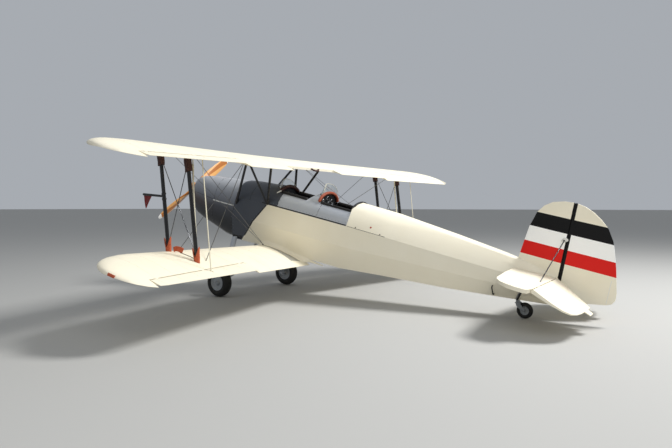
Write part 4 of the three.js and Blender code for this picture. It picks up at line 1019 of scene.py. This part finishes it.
# %% Root fillets and walkways
FILLET = [
    # x, height on the body's side, span station where it meets the wing
    (-0.185, 0.625, 0.315), (-0.25, 0.675, 0.335), (-0.37, 0.705, 0.35), (-0.526, 0.703, 0.36),
    (-0.7, 0.688, 0.368), (-0.833, 0.67, 0.374), (-0.981, 0.655, 0.38), (-1.1, 0.648, 0.384),
]
FILLET_TAIL = [  # x, height, height of its foot, span station
    (-1.16, 0.63, 0.592, 0.305), (-1.26, 0.615, 0.596, 0.297), (-1.37, 0.607, 0.6, 0.289),
]
SUNK, PROUD = 0.012, 0.004  # inside the skins, and off them


def wing_top(x, y):
    return lower_skin.ray_cast((x, y, ABOVE), -UP)[0]


def hollow_curve(start, corner, stop):
    shares = (0, 0.2, 0.4, 0.6, 0.8, 1)
    return [start.lerp(corner, t).lerp(corner.lerp(stop, t), t) for t in shares]


body_side = skin("fuselage")
rings = []
for x, height, y in FILLET:
    high, low = body_side.ray_cast((x, 0.8, height), -LEFT)[0], wing_top(x, y)
    if low is not None:
        curve = hollow_curve(high, Vector((x, high.y + PROUD, low.z + PROUD)), low)
        inner = high.y - SUNK
        rings.append([(x, inner, low.z - SUNK), (x, inner, height), *curve, low - UP * 0.01])
for x, height, foot, y in FILLET_TAIL:
    high, low = Vector((x, y - 0.025, height)), Vector((x, y - 0.025, foot))
    curve = hollow_curve(high, Vector((x, y, (height + 2 * foot) / 3)), low)
    rings.append([low - LEFT * 0.02, high - LEFT * 0.02, *curve, low])
new_piece("root_fillets", lofted([rings]), "doped_linen_over_wing_ribs", fold=60, mirrored=True)

WALKWAY = [(-0.34, 0.352, 0.372), (-0.6, 0.378, 0.45), (-0.85, 0.388, 0.53), (-1.1, 0.396, 0.615)]
WALKWAY_STEPS, WALKWAY_COLUMNS = 9, 4  # between two rows, and across
rings = []
for one, two in zip(WALKWAY, WALKWAY[1:]):
    for step in range(WALKWAY_STEPS):
        x, near, far = (a + (b - a) * step / WALKWAY_STEPS for a, b in zip(one, two))
        columns = range(WALKWAY_COLUMNS + 1)
        tops = [wing_top(x, near + (far - near) * i / WALKWAY_COLUMNS) for i in columns]
        rings.append([top - UP * 0.001 for top in tops[::-1]] + [top + UP * 0.0022 for top in tops])
new_piece("walkways", lofted([rings]), "grit_walkway", mirrored=True)
print("fillet stations:", len(FILLET))

# %% [markdown]
# The cockpits' edges are the first thing that a visitor leans on. Both are ringed with stuffed
# leather: an arch of dark leather behind the front windscreen, a faded orange one on the hood's
# rear edge, and black bolsters along the sides. A bolster is a sweep whose profile swells and
# closes at its ends. The openings follow the decking's half-ellipse arches, so this cell holds
# the same arch rule as the drawing.

# %% Cockpit rolls and bolsters
OPENING_Z = 1.45
DECK_STATIONS = [
    # x, half width at the foot, foot height, ridge height
    (-0.255, 0.33, 1.228, 1.527), (-0.9, 0.332, 1.238, 1.532), (-1.66, 0.322, 1.246, 1.532),
]
FRONT_RIM_X, REAR_RIM_X, HEADREST_X = -0.374, -1.098, -1.652


def deck_arch(x):
    one, two = DECK_STATIONS[0:2] if x > DECK_STATIONS[1][0] else DECK_STATIONS[1:3]
    share = (x - one[0]) / (two[0] - one[0])
    return [a + share * (b - a) for a, b in zip(one[1:], two[1:])]


def opening_edge(x):
    half, foot, ridge = deck_arch(x)
    return half * math.sqrt(1 - ((OPENING_Z - foot) / (ridge - foot)) ** 2)


def bolster(path, outward, radius, flatten):
    """A stuffed roll along a path that swells from its pinched ends."""

    def profile(i):
        end = min(i, len(path) - 1 - i) * (path[1] - path[0]).length
        swelling = radius * math.sqrt(1 - max(0, 1 - end / radius) ** 2 * 0.96)
        swelling *= 1 + 0.035 * math.sin(2.1 * i) * math.sin(0.7 * i)
        return round_profile(swelling, 14, flatten)

    return lofted([carried(path, outward, profile)])


def arch_path(x, half, foot, ridge, first, power=1.0, steps=30):
    """Points and outward directions over an arch, from the left foot to the right one."""
    path, outward = [], []
    for i in range(steps + 1):
        angle = first + (math.pi - 2 * first) * i / steps
        rise = (ridge - foot) * math.sin(angle) ** power
        path.append(Vector((x, half * math.cos(angle), foot + rise)))
        outward.append(Vector((0, math.cos(angle), math.sin(angle))))
    return path, outward


half, foot, ridge = deck_arch(FRONT_RIM_X)
front_start = math.asin((OPENING_Z - foot) / (ridge - foot))
front_arch = arch_path(FRONT_RIM_X, half, foot, ridge + 0.006, front_start)
rear_arch = arch_path(REAR_RIM_X, 0.238, 1.41, 1.59, math.radians(9), 0.8, 36)
TURTLE_ARCH = [(0.243, 1.49), (0.19, 1.522), (0.126, 1.551), (0.06, 1.567), (0, 1.573)]
path = [Vector((HEADREST_X, y, z)) for y, z in TURTLE_ARCH]
outward = [Vector((0, y * 2, 1)) for y, z in TURTLE_ARCH]
headrest_arch = path + flipped(path[-2::-1]), outward + flipped(outward[-2::-1])

ROLLS = [
    # name, finish, path and outward directions, radius, which way its stitches are turned
    ("front_rim_roll", "dark_brown_leather", front_arch, 0.027, AHEAD * -0.7),
    ("rear_rim_roll", "faded_orange_leather", rear_arch, 0.022, AHEAD * -0.7),
    ("headrest_roll", "black_leather", headrest_arch, 0.016, AHEAD * 0.7),
]
SIDE_BOLSTERS = {  # from x, to x, radius
    "front": (-0.392, -0.9, 0.024), "rear": (-1.118, -1.648, 0.021),
}
BOLSTER_STEPS, BOLSTER_INSET, BOLSTER_DROP = 34, 0.004, 0.004
stitched = []


def stuffed_roll(name, leather, path, outward, radius, turned_to, flatten=1.0):
    seam = [(way + turned_to).normalized() for way in outward]
    stitched.append(([p + way * radius for p, way in zip(path, seam)][2:-2], seam[2:-2]))
    return new_piece(name, bolster(path, outward, radius, flatten), leather, fold=70)


for name, leather, arch, radius, turned_to in ROLLS:
    stuffed_roll(name, leather, *arch, radius, turned_to)
for place, (first, last, radius) in SIDE_BOLSTERS.items():
    stations = [first + (last - first) * i / BOLSTER_STEPS for i in range(BOLSTER_STEPS + 1)]
    edges = [(x, opening_edge(x) - BOLSTER_INSET) for x in stations]
    for side, sign in (("left", 1), ("right", -1)):
        path = [Vector((x, sign * y, OPENING_Z - BOLSTER_DROP)) for x, y in edges]
        outward = [Vector((0, sign * 0.5, 1)).normalized()] * len(path)
        name, turned_to = f"{place}_bolster_{side}", LEFT * (sign * 0.8)
        roll = stuffed_roll(name, "black_leather", path, outward, radius, turned_to, flatten=1.1)
grow("rim_stitches", stitched, studs, "black_leather", Spacing=0.011, Radius=0.0026, Height=0.0012)
print("rolls and bolsters:", len(ROLLS) + 2 * len(SIDE_BOLSTERS))

# %% [markdown]
# The windscreens are clear sheet in a thin pale frame, with a black rubber bead where they meet
# the metal. The frame is real, and its pale colour along the rear screen's top edge is also a
# painted highlight: the glint of that edge. The frame follows the sheet's plan, which is bent
# round in steps, and the bead is laid on the decking with rays from above.

# %% Windscreen frames
SCREEN_PLAN = [  # behind the front, half width, share of the height, from its end to the middle
    (0.105, 0.172, 0.45), (0.06, 0.14, 0.8), (0.02, 0.08, 0.96), (0, 0, 1),
]
SCREENS = [
    # name, front x, height from the surface there to the top
    ("front", -0.205, 1.64 - 1.5248), ("rear", -0.975, 1.72 - 1.5528),
]
SCREEN_LEAN, SCREEN_FRAME, SCREEN_BEAD = 0.06, 0.0028, 0.008
IN_FRONT, BURIED = 0.0025, 0.004  # of the sheet, and in the decking
plan = SCREEN_PLAN + [(back, -y, share) for back, y, share in SCREEN_PLAN[-2::-1]]
for name, front_x, height in SCREENS:
    feet, tops = [], []
    for back, y, share in plan:
        x = front_x - back - IN_FRONT
        foot = nose.ray_cast((x, y, 2.0), -UP)[0]
        feet.append(foot)
        tops.append(Vector((x - SCREEN_LEAN * share, y, foot.z - BURIED + height * share)))
    edge = [feet[0], *tops, feet[-1]], (1, 0, 0.3)
    edge = swept([edge], round_profile(SCREEN_FRAME))
    # The frame's pale colour is partly a painted highlight, the glint along the rear screen's top
    # edge.
    new_piece(f"{name}_screen_frame", edge, "cream_painted_steel", fold=60)
    bead = [point + UP * 0.002 for point in feet], (0, 0, 1)
    bead = swept([bead], round_profile(SCREEN_BEAD, flatten=0.8))
    new_piece(f"{name}_screen_bead", bead, "weathered_tyre_rubber", fold=60)
print("windscreens:", len(SCREENS))

# %% [markdown]
# Seat cushions are leather bags stuffed with horsehair. Each starts as a crowned pillow whose
# sides pull in between its corners, and a short cloth simulation under air pressure swells it
# until the leather looks full. The move is capped, the underside stays flat on its seat, and
# piping and stitches are laid on afterwards, because the remesh would erase them.

# %% Seat cushions
SEAT_BACKS = {"front": -0.83, "rear": -1.59}
PILLOW_STEPS, VOXEL, CLOTH_FRAMES, SWELL_CAP = 18, 0.006, 20, 0.009
PIPING_STEPS = 56


def pillow(origin, u, v, n, half_u, half_v, edge, height):
    shape = bmesh.new()
    rows, steps = {}, PILLOW_STEPS
    for top in (True, False):
        for i in range(steps + 1):
            for j in range(steps + 1):
                a, b = 2 * i / steps - 1, 2 * j / steps - 1
                if max(abs(a), abs(b)) == 1 and not top:
                    rows[top, i, j] = rows[True, i, j]
                    continue
                crown = ((1 - a**4) * (1 - b**4)) ** 0.4
                rise = edge + (height - edge) * crown if top else edge * (1 - crown)
                pull_u, pull_v = 1 - 0.04 * (1 - b * b), 1 - 0.04 * (1 - a * a)
                place = origin + u * (a * half_u * pull_u) + v * (b * half_v * pull_v) + n * rise
                rows[top, i, j] = shape.verts.new(place)
    for top in (True, False):
        for i in range(steps):
            for j in range(steps):
                corners = [rows[top, i + a, j + b] for a, b in ((0, 0), (1, 0), (1, 1), (0, 1))]
                shape.faces.new(corners if top else corners[::-1])
    return shape


def swell(piece, base, n):
    """Blows the piece up a little as cloth, and keeps it above the plane through base."""
    remesh = piece.modifiers.new("remesh", "REMESH")
    remesh.mode, remesh.voxel_size = "VOXEL", VOXEL
    start = [vert.co.copy() for vert in plain_mesh(piece).vertices]
    cloth = piece.modifiers.new("cloth", "CLOTH")
    cloth.settings.use_pressure = True
    cloth.settings.uniform_pressure_force = 4
    cloth.settings.effector_weights.gravity = 0
    for step in range(CLOTH_FRAMES):
        bpy.context.scene.frame_set(step + 1)
    mesh = plain_mesh(piece)
    for vert, old in zip(mesh.vertices, start):
        move = vert.co - old
        vert.co = old + move * (SWELL_CAP / max(SWELL_CAP, move.length))
    bpy.context.scene.frame_set(1)
    piece.modifiers.new("finer", "SUBSURF").levels = 1
    mesh = plain_mesh(piece)
    for vert in mesh.vertices:
        depth = (vert.co - base).dot(n)
        if depth < 0:
            vert.co -= n * depth
    for face in mesh.polygons:
        face.use_smooth = True


def piping_ring(tree, middle, u, v):
    ring = []
    for i in range(PIPING_STEPS):
        angle = math.tau * i / PIPING_STEPS
        way = u * math.cos(angle) + v * math.sin(angle)
        ring.append(tree.ray_cast(middle + way * 0.4, -way)[0])
    return [hit for hit in ring if hit is not None]


def closed_roll(ring, out, radius, sides=6):
    rings = []
    for i, place in enumerate(ring):
        ahead = (ring[(i + 1) % len(ring)] - ring[i - 1]).normalized()
        side = ahead.cross(out).normalized()
        rings.append([place + side * a + out * b for a, b in round_profile(radius, sides)])
    return rings


turn = FROM_BODY.to_3x3()
lean, rise = Vector((0.38, 0, 0.018)).normalized(), Vector((-0.018, 0, 0.38)).normalized()
piping, seams, seat_tops = [], [], {}
for seat, back_x in SEAT_BACKS.items():
    pads = [
        # name, middle of the base, across, along, outward, half sizes, edge height, full height
        ("cushion", (back_x + 0.165, 0, 1.0015), AHEAD, LEFT, UP, 0.122, 0.15, 0.03, 0.068),
        ("backrest", (back_x + 0.0022, 0, 1.215), LEFT, rise, lean, 0.147, 0.135, 0.022, 0.05),
    ]
    for name, base, u, v, n, half_u, half_v, edge, height in pads:
        base = Vector(base)
        shape = pillow(base, u, v, n, half_u, half_v, edge, height)
        piece = new_piece(f"{seat}_seat_{name}", shape, "red_brown_leather", fold=180)
        swell(piece, FROM_BODY @ base, turn @ n)
        tree = seat_tops[seat, name] = skin_of(piece.data)
        piping.append(closed_roll(piping_ring(tree, base + n * edge, u, v), n, 0.0036))
        sizes = [(v, half_v), (u, half_u)] if name == "cushion" else [(u, half_u), (v, half_v)]
        (across, half_across), (along, half_along) = sizes
        for share in (-0.36, 0.36):
            middle, run = base + across * (half_across * share), along * (half_along * 0.86)
            seams.append(lay(tree, [middle - run, middle + run], n, 0.01))

new_piece("seat_piping", lofted(piping, closed=True), "black_leather", fold=80)
grow("seat_stitches", seams, studs, "webbing", Spacing=0.009, Radius=0.002, Height=0.001)
print("cushions:", len(piping))

# %% [markdown]
# Each pilot has two shoulder straps and a lap belt of flat webbing. A remesh would erase straps so
# thin, so they are swept directly along rays that meet the cushions, and a steel plate joins them.

# %% Harness
BELT, CATCH = strip_profile(0.04, 0.0028), strip_profile(0.052, 0.006)
PLATE = strip_profile(0.055, 0.008)
STRAP_Y, BUCKLE_Y, BELT_Z, BELT_STEP = 0.062, 0.02, 1.1, 0.02
webs, buckles = [], []


def on_rest(seat, y, *heights):
    places = [(SEAT_BACKS[seat], y, z) for z in heights]
    return lay(seat_tops[seat, "backrest"], places, AHEAD, BELT_STEP)


def on_cushion(seat, *places):
    places = [(SEAT_BACKS[seat] + x, y, BELT_Z) for x, y in places]
    return lay(seat_tops[seat, "cushion"], places, UP, BELT_STEP)


for seat, back_x in SEAT_BACKS.items():
    for sign in (1, -1):
        y, buckle = sign * STRAP_Y, (0.17, sign * BUCKLE_Y)
        start = [(-0.036, y, 1.33), (-0.03, y, 1.374), (0.004, y, 1.377)]
        start = [Vector(place) + AHEAD * back_x for place in start]
        over = [Vector((-1, 0, 0)), Vector((-0.7, 0, 0.7)), Vector((0.2, 0, 1))]
        down, facing = on_rest(seat, y, 1.34, BELT_Z)
        forward, up = on_cushion(seat, (0.08, y), buckle)
        webs.append(carried(start + down + forward, over + facing + up, BELT))
        side, up = on_cushion(seat, (0.15, sign * 0.148), buckle)
        anchor = Vector((back_x + 0.12, sign * 0.158, 1.05))
        webs.append(carried([anchor, *side], [LEFT * sign, *up], BELT))
        buckles.append(carried(*on_rest(seat, y, 1.25, 1.222), CATCH))
    buckles.append(carried(*on_cushion(seat, (0.172, -0.03), (0.172, 0.03)), PLATE))
new_piece("harness_webbing", lofted(webs), "webbing", fold=60)
new_piece("harness_buckles", lofted(buckles), "machined_steel")
print("harnesses:", len(SEAT_BACKS))

# %% [markdown]
# Round instruments fill each panel: a steel bezel turned from one profile, a black face, white
# ticks and a needle. The ticks repeat around a circle, which is Geometry Nodes' work again.

# %% Instruments
PANELS = {  # the panel's rear face x: (y, z, radius) of its dials, one on either side
    -0.354: [(0.0, 1.41, 0.045), (0.115, 1.385, 0.041), (0.05, 1.31, 0.032), (0.205, 1.34, 0.028)],
    -1.078: [(0.0, 1.49, 0.045), (0.105, 1.455, 0.041), (0.05, 1.385, 0.032)],
}
BEZEL = [(1.0, 0.0), (1.0, 0.007), (0.93, 0.01), (0.84, 0.007), (0.84, 0.0)]  # radius share, out
FACE, NEEDLE, TICKS = 0.86, 0.62, 0.72  # shares of the radius
DIAL_SIDES, TOWARDS_PILOT = 28, (-1, 0, 0)


def turned(profile, centre, segments, axis):
    """Rings of a closed profile of (radius, along) points that spins about an axis."""
    rings = []
    for i in range(segments):
        c, s = math.cos(math.tau * i / segments), math.sin(math.tau * i / segments)
        points = [(r * c, a, r * s) if axis == "Y" else (a, r * c, r * s) for r, a in profile]
        rings.append([Vector(centre) + Vector(point) for point in points])
    return rings


def circle_line(centre, radius, axis, share=1.0, first=0.0, steps=32):
    path = []
    for i in range(steps + 1):
        angle = first + math.tau * share * i / steps
        c, s = radius * math.cos(angle), radius * math.sin(angle)
        path.append(Vector(centre) + Vector((c, 0, s) if abs(axis[1]) > 0.5 else (0, c, s)))
    return path, [Vector(axis)] * len(path)


dials = [
    (x, sign * y, z, radius)
    for x, row in PANELS.items() for y, z, radius in row for sign in ((1, -1) if y else (1,))
]
bezels, faces, needles, ticks = [], [], [], []
for number, (x, y, z, radius) in enumerate(dials):
    bezel = [(radius * share, -out) for share, out in BEZEL]
    bezels.append(turned(bezel, (x, y, z), DIAL_SIDES, "X"))
    disc = round_profile(FACE * radius, DIAL_SIDES)
    faces.append([[(x + at, y + a, z + b) for a, b in disc] for at in (0.001, -0.003)])
    angle, hub = 0.9 + 1.7 * number, Vector((x - 0.004, y, z))
    needle = Vector((0, math.cos(angle), math.sin(angle))) * (NEEDLE * radius)
    needles.append(([hub, hub + needle], TOWARDS_PILOT))
    ticks.append(circle_line((x - 0.003, y, z), TICKS * radius, TOWARDS_PILOT, 0.8, -0.15))
new_piece("instrument_bezels", lofted(bezels, closed=True), "machined_steel")
new_piece("instrument_faces", lofted(faces), "matt_black_paint")
new_piece("instrument_needles", swept(needles, strip_profile(0.0022, 0.0008)), "white_enamel")
grow("instrument_ticks", ticks, studs, "white_enamel", Spacing=0.0105, Radius=0.0013, Height=0.0007)
print("instruments:", len(dials))

# %% [markdown]
# A few small fittings finish the upper works: the white catches of the front decking, the leather
# hand-hold on the cut-out's edge that the pilot climbs in by, a loose leather tab at the front
# strut's foot, and the orange mark on the lower wings' tips.

# %% Small fittings
TIP_MARK_POINTS = 8
mark = []
for i in range(TIP_MARK_POINTS + 1):
    share = i / TIP_MARK_POINTS
    x, y = -1.365 - 0.085 * share, 3.7 - 0.058 * share**1.5
    hit = lower_skin.ray_cast((x, y + 0.3, on_wing("lower", y, 0).z + 0.012), -LEFT)
    if hit[0] is not None:
        mark.append(hit[:2])
mark = [list(part) for part in zip(*mark)]
CATCH_LINE = [(-0.338, 0.247, 1.424), (-0.36, 0.24, 1.44), (-0.4, 0.234, 1.468)]
HAND_HOLD = [
    (-0.668, -0.015, 1.862), (-0.694, -0.02, 1.86), (-0.706, -0.045, 1.848), (-0.708, -0.1, 1.842),
    (-0.706, -0.16, 1.848), (-0.694, -0.185, 1.86), (-0.668, -0.19, 1.862),
]
TAB_LINE = [
    (-0.772, 2.445, 0.815), (-0.8, 2.437, 0.832), (-0.84, 2.428, 0.836), (-0.893, 2.415, 0.83),
]
FITTINGS = [
    # name, finish, (path, outward), profile, on both sides
    ("decking_catches", "white_enamel", (CATCH_LINE, (0, 0.7, 0.7)), round_profile(0.0105), True),
    (
        "cut_out_hand_hold", "dark_brown_leather", (HAND_HOLD, (0, 0, 1)),
        round_profile(0.013, 10), False,
    ),
    (
        "strut_foot_tab", "orange_leather", (TAB_LINE, (0, 1, 0.2)),
        strip_profile(0.06, 0.004), False,
    ),
    ("tip_marks", "orange_leather", mark, strip_profile(0.028, 0.003), True),
]
for name, paint, run, profile, paired in FITTINGS:
    new_piece(name, swept([run], profile), paint, fold=60, mirrored=paired)
print("fittings:", len(FITTINGS))

# %% [markdown]
# Tyres, hubs, and the propeller's bolts are all turned or set out on circles. The tyre has a round
# crown with three grooves, and the hub is a dished disc with a raised rim. They replace the plain
# solids, ride on the same bodies, and are drawn in the frame's own axes, since wheels stay level.

# %% Wheels and bolts
MAIN_WHEEL = (0.21, 0.15, 0.118, 0.0183, 0.063)
WHEELS = [
    # tyre, hub, body, centre, then radius, width, bead radius, bore, hub's half width
    ("tyre_left", "wheel_hub_left", "main_wheel_left", AXLE + LEFT * 0.788, *MAIN_WHEEL),
    ("tyre_right", "wheel_hub_right", "main_wheel_right", AXLE - LEFT * 0.788, *MAIN_WHEEL),
    (
        "tailwheel_tyre", "tailwheel_hub", "tail_wheel", Vector((-2.344571, 0, 0.095)),
        0.095, 0.056, 0.052, 0.0083, 0.0347,
    ),
]
TREAD = [  # angle from the crown in degrees, 1 where a groove is cut
    (90, 0), (76, 0), (62, 0), (48, 0), (36, 0), (26, 0),
    (25, 1), (21, 1), (20, 0), (11, 0), (3, 0), (2, 1),
]
HUB_DISC = [  # share of the bead radius, share of the rim's half width
    (0.4, 0.7), (0.58, 0.64), (0.83, 0.68), (0.9, 0.84), (0.935, 0.97), (0.985, 1.0), (0.997, 0.93),
]
CROWN, GROOVE_DEPTH, RIM = 0.41, 0.024, 0.38  # shares of the width
BOLTS, BOLT_CIRCLE, BOLT_DEPTH = 8, 0.7, 0.65
BOLT_ARC = 1 - 1 / BOLTS  # the line stops one bolt short of where it starts
INTAKE, HUB_PLATE_X, HUB_PLATE_BOLTS = (1.568, 0, 0.94), 1.6302 + 0.0555, 0.05
INTAKE_LIP = [(0.0445, -0.012), (0.0445, 0.004), (0.049, 0.007), (0.054, 0.003), (0.056, -0.012)]


def both_faces(side):
    return side + [(r, -along) for r, along in reversed(side)]


def tyre_profile(radius, width, bead):
    crown = CROWN * width
    side = [(bead, 0.4 * width), (bead + 0.05 * width, 0.455 * width)]
    for angle, cut in TREAD:
        a = math.radians(angle)
        out = radius - crown + crown * math.cos(a) - GROOVE_DEPTH * width * cut
        side.append((out, width / 2 * math.sin(a)))
    return both_faces(side)


def hub_profile(width, bead, bore, half):
    side = [(bore, half), (1.6 * bore, half), (1.85 * bore, 0.92 * half)]
    return both_faces(side + [(share * bead, depth * RIM * width) for share, depth in HUB_DISC])


def bolt_spacing(radius):
    return radius * math.tau / BOLTS * 0.99  # a shade short, so that the last bolt isn't lost


for tyre, hub, body, centre, radius, width, bead, bore, half in WHEELS:
    parts = [
        (f"{tyre}_treaded", tyre, "weathered_tyre_rubber", tyre_profile(radius, width, bead), 96),
        (f"{hub}_dished", hub, "pale_grey_hub_paint", hub_profile(width, bead, bore, half), 64),
    ]
    for name, node, paint, profile, segments in parts:
        shape = lofted([turned(profile, centre, segments, "Y")], closed=True)
        piece = new_piece(name, shape, paint, body, level=False)
        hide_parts(node)
    ring, lines = BOLT_CIRCLE * bead, []
    for sign in (1, -1):
        middle = centre + LEFT * (sign * BOLT_DEPTH * RIM * width)
        lines.append(circle_line(middle, ring, (0, sign, 0), BOLT_ARC))
    grow(
        f"{hub}_bolts", lines, studs, "machined_steel", body, level=False,
        Spacing=bolt_spacing(ring), Radius=0.055 * bead, Height=0.04 * bead,
    )

line = circle_line((HUB_PLATE_X, 0, SHAFT_HEIGHT), HUB_PLATE_BOLTS, (1, 0, 0), BOLT_ARC)
grow(
    "propeller_bolts", [line], studs, "machined_steel", "propeller",
    Spacing=bolt_spacing(HUB_PLATE_BOLTS), Radius=0.0075, Height=0.008,
)
lip = turned(INTAKE_LIP, INTAKE, 32, "X")
new_piece("intake_lip", lofted([lip], closed=True), "machined_steel")
print("wheels:", len(WHEELS))

# %% [markdown]
# The pitot arm is clamped round the front strut, and a small red flag hangs from it so that nobody
# walks into it. The flag is one thin cloth, cut as a triangle 135 mm wide and 140 mm deep. It is
# drawn as rows that narrow towards the point, and it bends in slow folds, as limp cloth in still
# air does.

# %% Pitot clamp and flag
PITOT_ROOT, PITOT_TIP = Vector((-0.515, 2.476, 1.374)), Vector((-0.17, 2.476, 1.322))
PITOT_RADIUS = 0.014
foot, head = strut_line["front"]
along = (head - foot).normalized()
middle = foot + along * ((PITOT_ROOT.z - foot.z) / along.z)
clamps = [
    ([middle + along * (lift + at) for at in (-0.009, 0.009)], (0, 1, 0)) for lift in (-0.03, 0.03)
]
clamps = swept(clamps, round_profile(0.034, 20, 0.53))
new_piece("pitot_clamps", clamps, "gloss_black_paint_on_steel")

FLAG_WIDTH, FLAG_DROP, FLAG_THICKNESS = 0.135, 0.14, 0.0012
FLAG_COLUMNS, FLAG_ROWS, FLAG_CUT = 14, 14, 0.985  # the last row lies just above the point
slope = (PITOT_TIP.z - PITOT_ROOT.z) / (PITOT_TIP.x - PITOT_ROOT.x)
front_x = PITOT_TIP.x - 0.01


def flag_point(across, down, lift):
    x = front_x - FLAG_WIDTH * across
    top = Vector((x, 0, PITOT_TIP.z + slope * (x - PITOT_TIP.x) - PITOT_RADIUS - 0.0005))
    point = Vector((PITOT_TIP.x - 0.072, 0, PITOT_TIP.z - PITOT_RADIUS - FLAG_DROP))
    wave = 0.0045 * down * math.sin(9 * across + 2.5 * down) + 0.003 * down * math.sin(5 * down)
    return top.lerp(point, down) + LEFT * (STRUT_Y + wave + lift)


shape, rims = bmesh.new(), []
for lift in (FLAG_THICKNESS / 2, -FLAG_THICKNESS / 2):
    rows = []
    for j in range(FLAG_ROWS + 1):
        down, shares = FLAG_CUT * j / FLAG_ROWS, [i / FLAG_COLUMNS for i in range(FLAG_COLUMNS + 1)]
        rows.append([shape.verts.new(flag_point(across, down, lift)) for across in shares])
    for one, two in zip(rows, rows[1:]):
        for i in range(FLAG_COLUMNS):
            shape.faces.new((one[i], one[i + 1], two[i + 1], two[i]))
    front_edge, back_edge = [row[0] for row in rows[1:]], [row[-1] for row in rows[-2:0:-1]]
    rims.append(rows[0][::-1] + front_edge + rows[-1][1:] + back_edge)
for i in range(len(rims[0])):
    j = (i + 1) % len(rims[0])
    shape.faces.new((rims[0][i], rims[0][j], rims[1][j], rims[1][i]))
flag = new_piece("pitot_flag", shape, "red_flag_cloth", fold=80)
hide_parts("pitot_pennant")
print("flag:", FLAG_WIDTH, "by", FLAG_DROP, "m")

# %% [markdown]
# The studio is a pale floor, a soft sky and two soft lights. The main one stands high behind the
# tail and a little to the far side, so the wings' tops are bright and the near flank is in open
# shade. The second, large and weak, lifts the shade from the near side.

# %% Floor and light
FLOOR_REACH = 300
corners = [(x * FLOOR_REACH, y * FLOOR_REACH, 0) for x, y in ((-1, -1), (1, -1), (1, 1), (-1, 1))]
floor_mesh = bpy.data.meshes.new("floor")
floor_mesh.from_pydata(corners, [], [(0, 1, 2, 3)])
floor_paint = {"Roughness": 0.9, "Base_Color": linear("#B2B1AD")}
floor_mesh.materials.append(new_material("pale_studio_floor", **floor_paint)[0])
add_object("floor", floor_mesh)

world = bpy.data.worlds.new("studio")
world.use_nodes = True
sky = world.node_tree.nodes["Background"]
set_inputs(world.node_tree, sky, {"Color": linear("#E4EAF2"), "Strength": 0.5})
bpy.context.scene.world = world
bpy.context.scene.view_settings.view_transform = "Standard"

LIGHTS = [  # name, place, size, power
    ("key_light", (-7, -3.2, 11), 3.5, 1900),
    ("fill_light", (-9, 9, 7), 7, 400),
]
for name, place, size, power in LIGHTS:
    light = add_object(name, bpy.data.lights.new(name, "AREA"))
    light.data.size, light.data.energy = size, power
    turn = (UP - Vector(place)).to_track_quat("-Z", "Y")
    light.matrix_world = Matrix.Translation(place) @ turn.to_matrix().to_4x4()
print("lights:", len(LIGHTS))

# %% Update the scene
bpy.context.view_layer.update()
